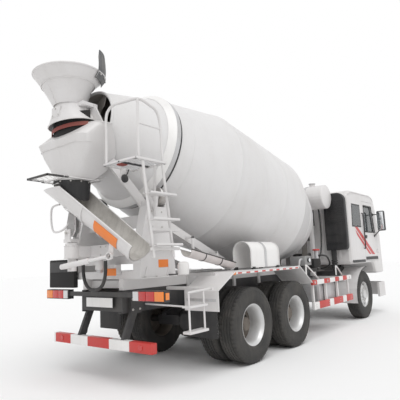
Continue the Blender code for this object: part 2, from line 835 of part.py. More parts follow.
def build_funnel():
    """The bucket that gathers the concrete from the drum's mouth, and the posts that hold the hopper."""
    rows = [
        [(front, -half, z), (rear, -half, z), (rear, half, z), (front, half, z)]
        for rear, front, half, z in FUNNEL_LEVELS
    ]
    pieces = [lofted(rows, FUNNEL_WALL, closed=False)]
    pieces.append(beam((-3.995, 0, 2.583), (-3.80, 0, 2.655), 0.50, FUNNEL_WALL))
    for side in (1, -1):
        pieces.append(
            beam((-3.86, side * 0.42, 2.83), (-3.42, side * (TOWER_Y - 0.10), TOWER_TOP_Z + 0.03), 0.05, 0.12)
        )
        low, high = sorted((side * (TOWER_Y - 0.14), side * (TOWER_Y + 0.05)))
        pieces.append(box((-3.48, low, TOWER_TOP_Z + GAP), (-3.36, high, TOWER_TOP_Z + 0.08)))
        pieces.append(
            beam(
                (-4.02, side * HANGER_Y, 3.16), (-4.04, side * 0.30, HOPPER_LEVELS[-1][1] - 0.05), 0.03, 0.10
            ),
        )
    outlet = Vector((SWIVEL_X, 0, 0))
    flange_z = FUNNEL_LEVELS[-1][3]
    pieces.append(box((-4.42, -0.27, flange_z - 0.007), (-3.90, 0.27, flange_z + 0.007)))
    pieces.append(
        rod(outlet + Vector((0, 0, flange_z - 0.055)), outlet + Vector((0, 0, flange_z)), OUTLET_RADIUS, 24)
    )
    mouth = rod(
        outlet + Vector((0, 0, 2.4)), outlet + Vector((0, 0, flange_z + 0.03)), OUTLET_RADIUS - 0.012, 24
    )
    pad_top = HOPPER_LEVELS[-1][1] - 0.0035
    for side in (1, -1):
        low, high = sorted((side * 0.19, side * 0.34))
        pieces.append(box((-4.22, low, pad_top - 0.05), (-3.99, high, pad_top)))
    part("collecting_funnel", "body_paint", pieces, [mouth])


APRON_LENGTH = 0.045


def build_apron():
    """The rubber skirt round the rear and right of the funnel's outlet."""
    inner = OUTLET_RADIUS + GAP * 3
    profile = [(inner, 0.0), (inner + 0.008, 0.0), (inner + 0.008, -APRON_LENGTH), (inner, -APRON_LENGTH)]
    skirt = turned(profile, (SWIVEL_X, 0, FUNNEL_LEVELS[-1][3] - 0.0095), (0, 0, 1), 24)
    front = box((SWIVEL_X + 0.04, -0.10, 2.2), (SWIVEL_X + 0.4, 0.4, 2.7))
    part("rubber_apron", "tyre_rubber", [skirt], [front])


# ---------------------------------------------------------------- platform and ladder

PLATFORM_Z = 2.72
PLATFORM_REAR_X = -4.12
PLATFORM_FRONT_X = -3.62
PLATFORM_OUTER_Y = -1.18
PLATFORM_INNER_Y = -0.60
HANDRAIL_HEIGHT = 0.80
HANDRAIL_RADIUS = 0.017


def build_platform():
    """The deck beside the hopper, with its hand rails."""
    top = PLATFORM_Z + HANDRAIL_HEIGHT
    rear, front = PLATFORM_REAR_X + 0.03, PLATFORM_FRONT_X - 0.03
    inner, outer = PLATFORM_INNER_Y - 0.03, PLATFORM_OUTER_Y + 0.03
    foot = PLATFORM_Z - 0.015
    hoop = [
        (rear, inner, foot),
        (rear, inner, top),
        (rear + 0.05, outer, top),
        (front - 0.12, outer, top - 0.06),
        (front, outer, foot),
    ]
    deck = box(
        (PLATFORM_REAR_X, PLATFORM_OUTER_Y, PLATFORM_Z - 0.03),
        (PLATFORM_FRONT_X, PLATFORM_INNER_Y, PLATFORM_Z),
    )
    pieces = [
        deck,
        tube(hoop, HANDRAIL_RADIUS),
        tube([(rear + 0.045, outer, foot), (rear + 0.045, outer, top - 0.008)], 0.015),
    ]
    face = -TOWER_Y - TOWER_WIDTH / 2 - GAP
    shelf = box((-3.50, face - 0.03, TOWER_TOP_Z - 0.30), (-3.26, face, TOWER_TOP_Z - 0.04))
    for y in (-1.04, -0.78):
        pieces.append(
            beam((-3.67, y, PLATFORM_Z - 0.016), (-3.42, face - 0.024, TOWER_TOP_Z - 0.14), 0.03, 0.05)
        )
    clear = box((-3.60, face, TOWER_TOP_Z - 0.60), (-3.20, 0.0, TOWER_TOP_Z + GAP))
    part("platform", "body_paint", pieces + [shelf], [clear])


LADDER_Y = -1.155
LADDER_STEPS = (2.31, 2.01, 1.71)
LADDER_LEAN = 0.13


def build_ladder():
    """Two rails with steps, from the platform down beside the tower."""
    pieces = []
    top = PLATFORM_Z - 0.0328
    low = 1.56
    for x in (-3.99, -3.66):
        pieces.append(
            tube([(x, LADDER_Y, top), (x + (top - low) * LADDER_LEAN, LADDER_Y, low)], 0.018)
        )
    for z in LADDER_STEPS:
        rear = -4.01 + (top - z) * LADDER_LEAN
        pieces.append(box((rear, LADDER_Y - 0.09, z - 0.015), (rear + 0.45, LADDER_Y + 0.035, z + 0.014)))
    wall = -TOWER_Y - TOWER_WIDTH / 2 - GAP
    for z in (LADDER_STEPS[1] - 0.12, LADDER_STEPS[2] - 0.05):
        pieces.append(box((-3.90, LADDER_Y - 0.012, z - 0.017), (-3.40, LADDER_Y + 0.013, z + 0.018)))
        pieces.append(box((-3.44, LADDER_Y - 0.008, z - 0.015), (-3.41, wall, z + 0.015)))
    part("ladder", "body_paint", pieces)


STEP_TUBE_X = -2.87
STEP_TUBE_Z = 1.14
STEP_Y = -1.20
STEP_REAR_X = -3.32
STEP_FRONT_X = -3.03


def build_lower_step():
    """The step frame that hangs outside the rear fender, on a tube from the frame rail."""
    wall = -FRAME_WIDTH / 2 - GAP
    pieces = [
        rod((STEP_TUBE_X, wall, STEP_TUBE_Z), (STEP_TUBE_X, STEP_Y - 0.04, STEP_TUBE_Z), 0.024, 12),
        rod(
            (STEP_TUBE_X + 0.01, STEP_Y, STEP_TUBE_Z),
            (STEP_REAR_X - 0.02, STEP_Y, STEP_TUBE_Z - 0.02),
            0.015,
            12,
        ),
        rod((STEP_REAR_X, STEP_Y, STEP_TUBE_Z - 0.01), (STEP_REAR_X, STEP_Y - 0.005, 0.64), 0.0125, 10),
        rod((STEP_FRONT_X, STEP_Y, STEP_TUBE_Z - 0.01), (STEP_FRONT_X, STEP_Y - 0.005, 0.64), 0.0125, 10),
        box((STEP_REAR_X - 0.03, STEP_Y - 0.035, 0.625), (STEP_FRONT_X + 0.04, STEP_Y + 0.085, 0.655)),
        box((STEP_REAR_X - 0.03, STEP_Y - 0.035, 0.935), (STEP_FRONT_X + 0.04, STEP_Y + 0.085, 0.960)),
        rod((STEP_REAR_X + 0.02, STEP_Y + 0.05, 0.948), (STEP_REAR_X + 0.02, wall, 0.965), 0.0115, 10),
    ]
    part("lower_step", "body_paint", pieces)


# ---------------------------------------------------------------- discharge chute
# The post's own frame has its origin on the swivel's axis and +X towards the chute's outlet.

SWIVEL_TURN = Matrix.Translation((SWIVEL_X, 0, 0)) @ Matrix.Rotation(CHUTE_YAW, 4, "Z")
CHUTE_START_X = -0.215
CHUTE_START_Z = 2.69
CHUTE_END_X = 1.10
BRACKET_LOW_Z = 1.60
BRACKET_HIGH_Z = 1.76
CYLINDER_Y = -0.16
CYLINDER_BASE = Vector((0.0, CYLINDER_Y, 1.50))
CYLINDER_EYE = Vector((0.74, CYLINDER_Y, 1.600))
BARREL_LENGTH = 0.44
BARREL_RADIUS = 0.034
PISTON_ROD_RADIUS = 0.020
EYE_PIN_RADIUS = 0.012
EYE_HOLE_RADIUS = 0.034


def swung(item):
    """The item, moved from the post's own frame into the truck's."""
    item.data.transform(SWIVEL_TURN)
    return item


def chute_rim(x):
    """The middle of the trough's rim at a place along it."""
    return Vector((x, 0, CHUTE_START_Z - (x - CHUTE_START_X) * math.tan(CHUTE_SLOPE)))


def build_swivel():
    """The upright post that carries the chute, with the lugs of its tilt pin and of its cylinder."""
    pieces = [
        swung(rod((0, 0, 1.44), (0, 0, 1.845), SWIVEL_RADIUS, 16)),
        swung(rod((0, 0, BRACKET_HIGH_Z + GAP), (0, 0, BRACKET_HIGH_Z + 0.03), SWIVEL_RADIUS + 0.03, 16)),
        swung(box((-0.06, -0.085, 1.80), (0.06, 0.085, 1.842))),
        swung(rod((0, -0.10, TILT_PIN_Z), (0, 0.10, TILT_PIN_Z), TILT_PIN_RADIUS)),
        swung(box((-0.035, CYLINDER_Y + 0.045, 1.47), (0.035, 0.03, 1.53))),
        swung(rod((0, CYLINDER_Y - 0.02, 1.50), (0, CYLINDER_Y + 0.05, 1.50), EYE_PIN_RADIUS)),
    ]
    for side in (1, -1):
        low, high = sorted((side * 0.060, side * 0.082))
        pieces.append(swung(box((-0.045, low, 1.81), (0.045, high, TILT_PIN_Z + 0.045))))
    part("chute_swivel", "body_paint", pieces)


def build_chute():
    """The trough, its lugs on the tilt pin, the lug of its cylinder and its handle."""
    slope = Vector((math.cos(CHUTE_SLOPE), 0, -math.sin(CHUTE_SLOPE)))
    down = Vector((-math.sin(CHUTE_SLOPE), 0, -math.cos(CHUTE_SLOPE)))
    arc = [math.pi * i / 12 for i in range(13)]
    rows = []
    for x, radius in ((CHUTE_START_X, CHUTE_RADIUS), (CHUTE_END_X, CHUTE_END_RADIUS)):
        rim = chute_rim(x)
        rows.append(
            [rim + Vector((0, radius * math.cos(a), 0)) + down * (radius * math.sin(a)) for a in arc]
        )
    pieces = [swung(lofted(rows, CHUTE_WALL, closed=False))]
    for side in (1, -1):
        low, high = sorted((side * 0.030, side * 0.054))
        pieces.append(swung(box((-0.04, low, TILT_PIN_Z - 0.04), (0.10, high, 2.16))))
    pieces.append(swung(box((-0.02, -0.04, 2.02), (0.09, 0.04, 2.14))))
    lug = CYLINDER_EYE
    pieces.append(
        swung(box((lug.x - 0.03, lug.y + 0.022, lug.z - 0.03), (lug.x + 0.05, lug.y + 0.040, lug.z + 0.142)))
    )
    pieces.append(swung(rod(lug - Vector((0, 0.016, 0)), lug + Vector((0, 0.03, 0)), EYE_PIN_RADIUS)))
    handle = [
        (-0.15, -0.06, 2.30),
        (-0.30, -0.06, 2.25),
        (-0.27, -0.06, 1.96),
        (-0.10, -0.06, 1.965),
        (0.02, -0.035, 2.08),
    ]
    pieces.append(swung(tube(handle, 0.013)))
    top = box((SWIVEL_X - 0.8, -0.8, CHUTE_TOP_Z), (SWIVEL_X + 0.8, 0.8, 3.0))
    bore = swung(rod((0, -0.12, TILT_PIN_Z), (0, 0.12, TILT_PIN_Z), TILT_PIN_RADIUS + BORE_GAP))
    part("chute", "body_paint", pieces, [top, bore])


def build_chute_cylinder():
    """The barrel on the post and the rod whose eye sits round the chute's pin."""
    along = (CYLINDER_EYE - CYLINDER_BASE).normalized()
    across = Vector((0, 1, 0))
    barrel = [
        swung(rod(CYLINDER_BASE + along * 0.02, CYLINDER_BASE + along * BARREL_LENGTH, BARREL_RADIUS, 16)),
        swung(rod(CYLINDER_BASE - across * 0.018, CYLINDER_BASE + across * 0.018, 0.032, 16)),
    ]
    hollow = [
        swung(
            rod(
                CYLINDER_BASE + along * 0.06,
                CYLINDER_BASE + along * (BARREL_LENGTH + 0.1),
                PISTON_ROD_RADIUS + 0.001,
                16,
            ),
        ),
        swung(rod(CYLINDER_BASE - across * 0.1, CYLINDER_BASE + across * 0.1, EYE_PIN_RADIUS + BORE_GAP, 12)),
    ]
    part("chute_cylinder", "body_paint", barrel, hollow)
    stroke_rod = [
        swung(rod(CYLINDER_EYE - along * 0.545, CYLINDER_EYE - along * 0.035, PISTON_ROD_RADIUS, 16)),
        swung(rod(CYLINDER_EYE - across * 0.014, CYLINDER_EYE + across * 0.014, EYE_HOLE_RADIUS + 0.012, 16)),
    ]
    eye = swung(rod(CYLINDER_EYE - across * 0.1, CYLINDER_EYE + across * 0.1, EYE_HOLE_RADIUS, 16))
    part("chute_rod", "body_paint", stroke_rod, [eye])


def build_chute_bracket():
    """The bearing that the post turns in, on a box from the tower's rear beam."""
    post = Vector((SWIVEL_X, 0, 0))
    pieces = [
        rod(post + Vector((0, 0, BRACKET_LOW_Z)), post + Vector((0, 0, BRACKET_HIGH_Z)), 0.095, 20),
        box((SWIVEL_X + 0.03, -0.085, BRACKET_LOW_Z + 0.01), (-3.86, 0.085, BRACKET_HIGH_Z - 0.01)),
        box((-3.92, -0.42, BRACKET_LOW_Z + 0.005), (-3.60 - GAP, 0.20, BRACKET_HIGH_Z - 0.005)),
    ]
    bore = rod(post + Vector((0, 0, 1.0)), post + Vector((0, 0, 2.0)), SWIVEL_RADIUS + 0.0013, 16)
    part("chute_bracket", "body_paint", pieces, [bore])


EXTENSION_REAR = Vector((-2.98, -0.90, 1.66))
EXTENSION_FRONT = Vector((-1.86, -0.84, 1.45))
EXTENSION_RADIUS = 0.20


def build_extension_chute():
    """The spare chute length, stowed on two brackets beside the right stay."""
    rows = []
    for middle, radius in ((EXTENSION_REAR, EXTENSION_RADIUS), (EXTENSION_FRONT, EXTENSION_RADIUS * 0.9)):
        rows.append(
            [middle + Vector((0, 0.5 * radius * math.cos(a), -0.5 * radius * math.sin(a))) for a in
             [math.pi * i / 10 for i in range(11)]]
        )
    pieces = [lofted(rows, 0.010, closed=False)]
    for x, y, z in ((-2.70, -0.6182, 1.85), (-2.10, -0.5636, 1.63)):
        share = (x - EXTENSION_REAR.x) / (EXTENSION_FRONT.x - EXTENSION_REAR.x)
        rim = EXTENSION_REAR.lerp(EXTENSION_FRONT, share)
        edge = rim.y + EXTENSION_RADIUS / 2
        pieces.append(box((x - 0.02, edge - 0.012, rim.z - 0.03), (x + 0.02, edge + 0.012, z)))
        pieces.append(box((x - 0.02, edge - 0.012, z - 0.03), (x + 0.02, y - 0.0475, z)))
    part("extension_chute", "body_paint", pieces)


# ---------------------------------------------------------------- fenders, guards and lamps

FENDER_INNER = 0.66
FENDER_WALL = 0.010
FENDER_TOP_Z = 1.33


def build_rear_fenders():
    """A folded plate over both twin wheels, with a mud flap behind."""
    outline_points = [
        (-2.78, 0.83),
        (-2.78, 1.10),
        (-2.36, FENDER_TOP_Z),
        (-0.36, FENDER_TOP_Z),
        (0.10, 1.02),
    ]
    inner_points = [
        (0.10 - 0.012, 1.02 - 0.006),
        (-0.363, FENDER_TOP_Z - FENDER_WALL),
        (-2.356, FENDER_TOP_Z - FENDER_WALL),
        (-2.77, 1.10 - 0.006),
        (-2.77, 0.83),
    ]
    for side in (1, -1):
        low, high = sorted((side * FENDER_INNER, side * WIDTH / 2))
        skin = outline(outline_points + inner_points, low, high)
        pieces = [skin]
        for x in (-2.42, -1.22, -0.42):
            near, far = sorted((side * (FRAME_WIDTH / 2 + GAP), side * (FENDER_INNER + 0.30)))
            pieces.append(box((x - 0.03, near, FENDER_TOP_Z - 0.055), (x + 0.03, far, FENDER_TOP_Z - 0.004)))
            foot, reach = sorted((side * (FRAME_WIDTH / 2 + GAP), side * (FRAME_WIDTH / 2 + 0.03)))
            pieces.append(box((x - 0.03, foot, RAIL_TOP - 0.12), (x + 0.03, reach, FENDER_TOP_Z - 0.01)))
        low, high = sorted((side * (FENDER_INNER + 0.04), side * (WIDTH / 2 - 0.04)))
        pieces.append(box((-2.772, low, 0.50), (-2.760, high, 1.00)))
        part(f"{named(side)}_rear_fender", "body_paint", pieces)


FRONT_FENDER_RADIUS = 0.74
FRONT_FENDER_Y = (0.78, 1.235)


def build_front_fenders():
    """The rear half of each front wheel's arch, on an arm from the frame rail."""
    for side in (1, -1):
        arc = [math.radians(a) for a in range(90, 196, 15)]
        outer = [
            (FRONT_AXLE_X + FRONT_FENDER_RADIUS * math.cos(a), AXLE_Z + 0.02 + 0.62 * math.sin(a))
            for a in arc
        ]
        inner = [
            (FRONT_AXLE_X + (FRONT_FENDER_RADIUS - 0.012) * math.cos(a), AXLE_Z + 0.02 + 0.608 * math.sin(a))
            for a in reversed(arc)
        ]
        low, high = sorted((side * FRONT_FENDER_Y[0], side * FRONT_FENDER_Y[1]))
        near, far = sorted((side * (FRAME_WIDTH / 2 + GAP), side * (FRONT_FENDER_Y[0] + 0.15)))
        arm_x = FRONT_AXLE_X - 0.60
        pieces = [
            outline(outer + inner, low, high),
            box((arm_x - 0.05, near, 0.90), (arm_x + 0.045, far, 0.96)),
        ]
        part(f"{named(side)}_front_fender", "body_paint", pieces)


GUARD_REAR_X = 0.02
GUARD_FRONT_X = 2.06
GUARD_POSTS = (0.20, 0.78, 1.36, 1.94)


def build_side_guards():
    """Two rails and their posts along each side, between the wheels."""
    for side in (1, -1):
        outer = side * WIDTH / 2
        low, high = sorted((outer, outer - side * 0.04))
        pieces = [
            box((GUARD_REAR_X + 0.10, low, 0.53), (GUARD_FRONT_X, high, 0.65)),
            box((GUARD_REAR_X + 0.10, low, 0.97), (GUARD_FRONT_X, high, 1.05)),
        ]
        for x in GUARD_POSTS:
            near, far = sorted((outer - side * 0.035, outer - side * 0.075))
            pieces.append(box((x - 0.025, near, 0.54), (x + 0.025, far, 1.04)))
            near, far = sorted((outer - side * 0.05, side * (FRAME_WIDTH / 2 + GAP)))
            pieces.append(box((x - 0.02, near, 0.99), (x + 0.02, far, 1.035)))
        part(f"{named(side)}_side_guard", "body_paint", pieces)


UNDERRUN_HALF = 0.985


def build_underrun_bar():
    """The rear underrun bar, on two raking arms from the frame's end."""
    pieces = [box((-3.76, -UNDERRUN_HALF, 0.45), (-3.68, UNDERRUN_HALF, 0.567))]
    for side in (1, -1):
        near, far = sorted((side * (FRAME_WIDTH / 2 + GAP), side * (FRAME_WIDTH / 2 + 0.05)))
        pieces.append(box((-3.60, near, 0.87), (-3.42, far, 1.10)))
        y = side * (FRAME_WIDTH / 2 + 0.026)
        pieces.append(beam((-3.51, y, 0.96), (-3.71, y, 0.52), 0.045, 0.10))
    part("underrun_bar", "black_paint", pieces)


LAMP_LOW_Z = 1.045
LAMP_HIGH_Z = 1.175
LAMP_Y = (0.67, 1.207)


def build_tail_lamps():
    """Two lamp boxes on a bar across the frame's end."""
    pieces = [box((-3.735, -1.0, 1.09), (FRAME_REAR_X - GAP, 1.0, 1.15))]
    for side in (1, -1):
        low, high = sorted((side * LAMP_Y[0], side * LAMP_Y[1]))
        pieces.append(box((-3.75, low, LAMP_LOW_Z), (-3.66, high, LAMP_HIGH_Z)))
    part("tail_lamp_bar", "black_paint", pieces)


def build_side_equipment():
    """The fuel tank on the right and the battery box with its air tanks on the left."""
    for name, side, front, rear in (("fuel_tank", -1, 1.62, 0.62), ("battery_box", 1, 1.52, 0.72)):
        low, high = sorted((side * 0.56, side * 1.14))
        body = rounded(box((rear, low, 0.60), (front, high, 0.955)), 0.05, 2)
        pieces = [body]
        for x in (rear + 0.2, front - 0.2):
            near, far = sorted((side * (FRAME_WIDTH / 2 + GAP), side * 0.60))
            pieces.append(box((x - 0.03, near, 0.66), (x + 0.03, far, 0.94)))
        part(name, "bare_steel" if side < 0 else "black_paint", pieces)


WATER_TANK_X = 1.88
WATER_TANK_RADIUS = 0.27
WATER_TANK_HALF = 0.90
WATER_TANK_Z = 2.80


def build_water_tank():
    """A cylinder across the truck behind the cab, on two stands."""
    pieces = [
        rod(
            (WATER_TANK_X, -WATER_TANK_HALF, WATER_TANK_Z),
            (WATER_TANK_X, WATER_TANK_HALF, WATER_TANK_Z),
            WATER_TANK_RADIUS,
            24,
        )
    ]
    for side in (1, -1):
        y = side * 0.50
        pieces.append(
            box(
                (WATER_TANK_X - 0.06, y - 0.03, DECK_Z - 0.02),
                (WATER_TANK_X + 0.06, y + 0.03, WATER_TANK_Z - 0.2),
            ),
        )
        near, far = sorted((side * (FRAME_WIDTH / 2 + GAP), y))
        pieces.append(
            box((WATER_TANK_X - 0.06, near, RAIL_TOP - 0.12), (WATER_TANK_X + 0.06, far, RAIL_TOP + 0.20))
        )
    part("water_tank", "body_paint", pieces)


# ---------------------------------------------------------------- cab

CAB_SIDE = (
    (CAB_REAR_X, CAB_FLOOR_Z),
    (CAB_REAR_X, 2.84),
    (CAB_REAR_X + 0.22, CAB_ROOF_Z),
    (CAB_FRONT_X - 0.55, CAB_ROOF_Z),
    (CAB_FRONT_X - 0.30, 2.80),
    (CAB_FRONT_X - 0.02, 1.90),
    (CAB_FRONT_X, CAB_NOSE_Z),
    (FRONT_AXLE_X + 0.78, CAB_NOSE_Z),
    (FRONT_AXLE_X + 0.66, CAB_FLOOR_Z),
)
TUNNEL_HALF = 0.47
TUNNEL_TOP_Z = 1.56
DOOR_OUTLINE = (
    (DOOR_REAR_X, CAB_FLOOR_Z + 0.055),
    (DOOR_FRONT_X, CAB_FLOOR_Z + 0.055),
    (DOOR_FRONT_X, 2.10),
    (DOOR_FRONT_X - 0.16, DOOR_TOP_Z),
    (DOOR_REAR_X, DOOR_TOP_Z),
)
WINDOW_OUTLINE = (
    (DOOR_REAR_X + 0.11, WINDOW_SILL_Z),
    (DOOR_FRONT_X - 0.09, WINDOW_SILL_Z),
    (DOOR_FRONT_X - 0.23, DOOR_TOP_Z - 0.10),
    (DOOR_REAR_X + 0.11, DOOR_TOP_Z - 0.10),
)


def grown(points, amount):
    """A convex outline, anticlockwise, with each edge moved outwards."""
    count = len(points)
    result = []
    for i in range(count):
        before, here, after = (Vector(points[(i + k) % count]) for k in (-1, 0, 1))
        first, second = (here - before).normalized(), (after - here).normalized()
        out1, out2 = Vector((first.y, -first.x)), Vector((second.y, -second.x))
        bisector = (out1 + out2).normalized()
        result.append(tuple(here + bisector * (amount / bisector.dot(out1))))
    return result


def build_cab():
    """A hollow cab with a raised engine tunnel, open at its doors and windscreen."""
    half = CAB_WIDTH / 2
    shell = rounded(outline(CAB_SIDE, -half, half), 0.07, 2, 20)
    inner_half = half - CAB_WALL
    room = [
        (CAB_REAR_X + CAB_WALL, CAB_FLOOR_Z + 0.04),
        (CAB_FRONT_X - 0.12, CAB_FLOOR_Z + 0.04),
        (CAB_FRONT_X - 0.075, 1.90),
        (CAB_FRONT_X - 0.35, 2.775),
        (CAB_FRONT_X - 0.58, CAB_ROOF_Z - 0.06),
        (CAB_REAR_X + 0.24, CAB_ROOF_Z - 0.06),
        (CAB_REAR_X + CAB_WALL, 2.82),
    ]
    cavity = outline(room, -inner_half, inner_half)
    bulge = box((CAB_REAR_X - 0.2, -TUNNEL_HALF, 0.5), (CAB_FRONT_X - 0.45, TUNNEL_HALF, TUNNEL_TOP_Z + 0.04))
    room_cut = cavity.modifiers.new("tunnel", "BOOLEAN")
    room_cut.operation = "DIFFERENCE"
    room_cut.object = bulge
    cavity = settled(cavity)
    bpy.data.objects.remove(bulge, do_unlink=True)
    cuts = [cavity]
    tunnel_half = TUNNEL_HALF - 0.04
    cuts.append(box((CAB_REAR_X - 0.3, -tunnel_half, 0.5), (CAB_FRONT_X - 0.49, tunnel_half, TUNNEL_TOP_Z)))
    for side in (1, -1):
        low, high = sorted((side * (inner_half - 0.1), side * (half + 0.2)))
        cuts.append(outline(grown(DOOR_OUTLINE, DOOR_GAP), low, high))
    cuts.append(box((CAB_FRONT_X - 0.45, -0.98, 1.93), (CAB_FRONT_X + 0.3, 0.98, 2.66)))
    under = box((FRONT_AXLE_X + 0.87, -0.87, 0.5), (CAB_FRONT_X - 0.10, 0.87, CAB_FLOOR_Z - 0.01))
    cuts.append(under)
    lugs = []
    for side in (1, -1):
        low, high = sorted((side * 0.50, side * 0.54))
        lugs.append(
            box(
                (CAB_PIVOT_X - 0.05, low, CAB_PIVOT_Z - 0.045), (CAB_PIVOT_X + 0.05, high, CAB_FLOOR_Z + 0.03)
            ),
        )
    pivot = Vector((CAB_PIVOT_X, 0, CAB_PIVOT_Z))
    reach = Vector((0, 0.6, 0))
    cuts.append(rod(pivot - reach, pivot + reach, CAB_PIN_RADIUS + BORE_GAP))
    part("cab_shell", "body_paint", [shell], cuts[:-1], lugs, cuts[-1:])
    low_edge = Vector((CAB_FRONT_X - 0.040, 0, 1.9316))
    high_edge = Vector((CAB_FRONT_X - 0.266, 0, 2.6584))
    pane = beam(low_edge, high_edge, 1.959, 0.006)
    part("windscreen", "glass", [pane])


HINGE_RADIUS = 0.0115
HINGE_HEIGHTS = (1.55, 1.98)


def build_doors():
    """Each door with its window cut, and the mirror on its front edge."""
    half = CAB_WIDTH / 2
    for side in (1, -1):
        low, high = sorted((side * (half - CAB_WALL), side * half))
        panel = outline(DOOR_OUTLINE, low, high)
        window = outline(WINDOW_OUTLINE, low - 0.1, high + 0.1)
        barrel = Vector((DOOR_FRONT_X + DOOR_GAP, side * (half + HINGE_RADIUS + GAP), 0))
        pieces = [panel]
        for z in HINGE_HEIGHTS:
            up = Vector((0, 0, z))
            pieces.append(
                rod(barrel + up - Vector((0, 0, 0.05)), barrel + up + Vector((0, 0, 0.05)), HINGE_RADIUS)
            )
            near, far = sorted((side * (half - 0.005), side * (half + HINGE_RADIUS)))
            pieces.append(box((barrel.x - 0.075, near, z - 0.03), (barrel.x - 0.004, far, z + 0.03)))
        part(f"{named(side)}_door", "body_paint", pieces, [window])
        x = DOOR_FRONT_X - 0.10
        face = side * (half + GAP)
        tip = side * (half + 0.20)
        low, high = sorted((tip - side * 0.045, tip + side * 0.045))
        head = rounded(
            box((x - 0.09, min(tip - 0.09, tip + 0.09), 2.05), (x + 0.02, max(tip - 0.09, tip + 0.09), 2.55)),
            0.02,
            1,
        )
        pieces = [head]
        for z in (2.47, 1.93):
            end_z = min(max(z, 2.10), 2.50)
            pieces.append(
                rod((x - 0.04, face + side * 0.010, z), (x - 0.04, tip - side * 0.02, end_z), 0.012, 10)
            )
            near, far = sorted((face, face + side * 0.012))
            pieces.append(box((x - 0.07, near, z - 0.03), (x - 0.01, far, z + 0.03)))
        part(f"{named(side)}_mirror", "black_plastic", pieces)


def build_cab_inside():
    """Two seats, and the dashboard with the steering wheel on its column."""
    floor = CAB_FLOOR_Z + 0.04 + GAP
    for name, y in (("driver_seat", 0.66), ("passenger_seat", -0.66)):
        base = box((3.02, y - 0.15, floor), (3.42, y + 0.15, floor + 0.32))
        cushion = rounded(box((2.98, y - 0.17, floor + 0.28), (3.52, y + 0.17, floor + 0.44)), 0.04, 1)
        back = beam((3.05, y, floor + 0.40), (2.88, y, floor + 1.08), 0.36, 0.12)
        part(name, "seat_cloth", [base, cushion, back])
    front = CAB_FRONT_X - 0.125
    dash = outline(
        [(front - 0.34, 1.62), (front - 0.02, 1.55), (front - 0.02, 1.86), (front - 0.30, 1.86)],
        -CAB_WIDTH / 2 + CAB_WALL + 0.01,
        CAB_WIDTH / 2 - CAB_WALL - 0.01,
    )
    column = rod((front - 0.25, 0.66, 1.74), (front - 0.47, 0.66, 1.97), 0.03, 12)
    axis = Vector((-0.22, 0, 0.23)).normalized()
    rim = [(0.215 + 0.014 * math.cos(a), 0.014 * math.sin(a)) for a in [-math.tau * i / 6 for i in range(6)]]
    wheel = turned(rim, Vector((front - 0.47, 0.66, 1.97)), axis, 18)
    side = Vector((0, 1, 0))
    spoke = beam(
        Vector((front - 0.468, 0.66, 1.968)) - side * 0.212,
        Vector((front - 0.468, 0.66, 1.968)) + side * 0.212,
        0.04,
        0.012,
    )
    legs = [
        box((front - 0.10, y - 0.03, floor), (front - 0.04, y + 0.03, 1.60)) for y in (0.95, -0.95)
    ]
    part("dashboard", "black_plastic", [dash, column, wheel, spoke] + legs)


def build_bumper():
    """The front bumper, with returns to each front wheel."""
    nose = LENGTH / 2
    points = [
        (nose - 0.25, -WIDTH / 2),
        (nose - 0.06, -WIDTH / 2 + 0.10),
        (nose, -0.75),
        (nose, 0.75),
        (nose - 0.06, WIDTH / 2 - 0.10),
        (nose - 0.25, WIDTH / 2),
        (FRONT_AXLE_X + 0.80, WIDTH / 2),
        (FRONT_AXLE_X + 0.80, WIDTH / 2 - 0.05),
        (nose - 0.28, WIDTH / 2 - 0.05),
        (nose - 0.11, WIDTH / 2 - 0.15),
        (nose - 0.06, 0.72),
        (nose - 0.06, -0.72),
        (nose - 0.11, -WIDTH / 2 + 0.15),
        (nose - 0.28, -WIDTH / 2 + 0.05),
        (FRONT_AXLE_X + 0.80, -WIDTH / 2 + 0.05),
        (FRONT_AXLE_X + 0.80, -WIDTH / 2),
    ]
    pieces = [outline(points, 0.42, 0.76, "XY")]
    for side in (1, -1):
        y = side * (FRAME_WIDTH / 2 - 0.03)
        pieces.append(box((FRAME_FRONT_X - 0.20, y - 0.035, 0.62), (nose - 0.03, y + 0.035, 0.74)))
        pieces.append(
            box((FRAME_FRONT_X - 0.20, y - 0.035, 0.64), (FRAME_FRONT_X - 0.02, y + 0.035, RAIL_BOTTOM - GAP))
        )
    part("bumper", "body_paint", pieces)


def build_cab_duct():
    """The black air duct that stands behind the cab."""
    pieces = [
        box((CAB_REAR_X - 0.13, -1.20, 1.60), (CAB_REAR_X - 0.02, -0.70, 2.90)),
        box((CAB_REAR_X - 0.12, -0.90, RAIL_TOP - 0.10), (CAB_REAR_X - 0.05, -0.80, 1.62)),
        box(
            (CAB_REAR_X - 0.125, -0.88, RAIL_TOP - 0.12),
            (CAB_REAR_X - 0.05, -FRAME_WIDTH / 2 - GAP, RAIL_TOP - 0.03),
        ),
    ]
    part("cab_air_duct", "black_plastic", pieces)


# The route of the hydraulic hose that hangs in a loop from the chute's bracket.
HOSE_ROUTE = (
    (-3.895, 0.120, 1.6045),
    (-3.895, 0.120, 1.560),
    (-3.895, 0.121, 1.500),
    (-3.895, 0.117, 1.410),
    (-3.895, 0.098, 1.325),
    (-3.895, 0.055, 1.250),
    (-3.895, -0.020, 1.202),
    (-3.895, -0.110, 1.186),
    (-3.895, -0.200, 1.202),
    (-3.895, -0.275, 1.250),
    (-3.895, -0.318, 1.325),
    (-3.895, -0.337, 1.410),
    (-3.895, -0.341, 1.500),
    (-3.895, -0.340, 1.560),
    (-3.895, -0.340, 1.6045),
)
HOSE_RADIUS = 0.022


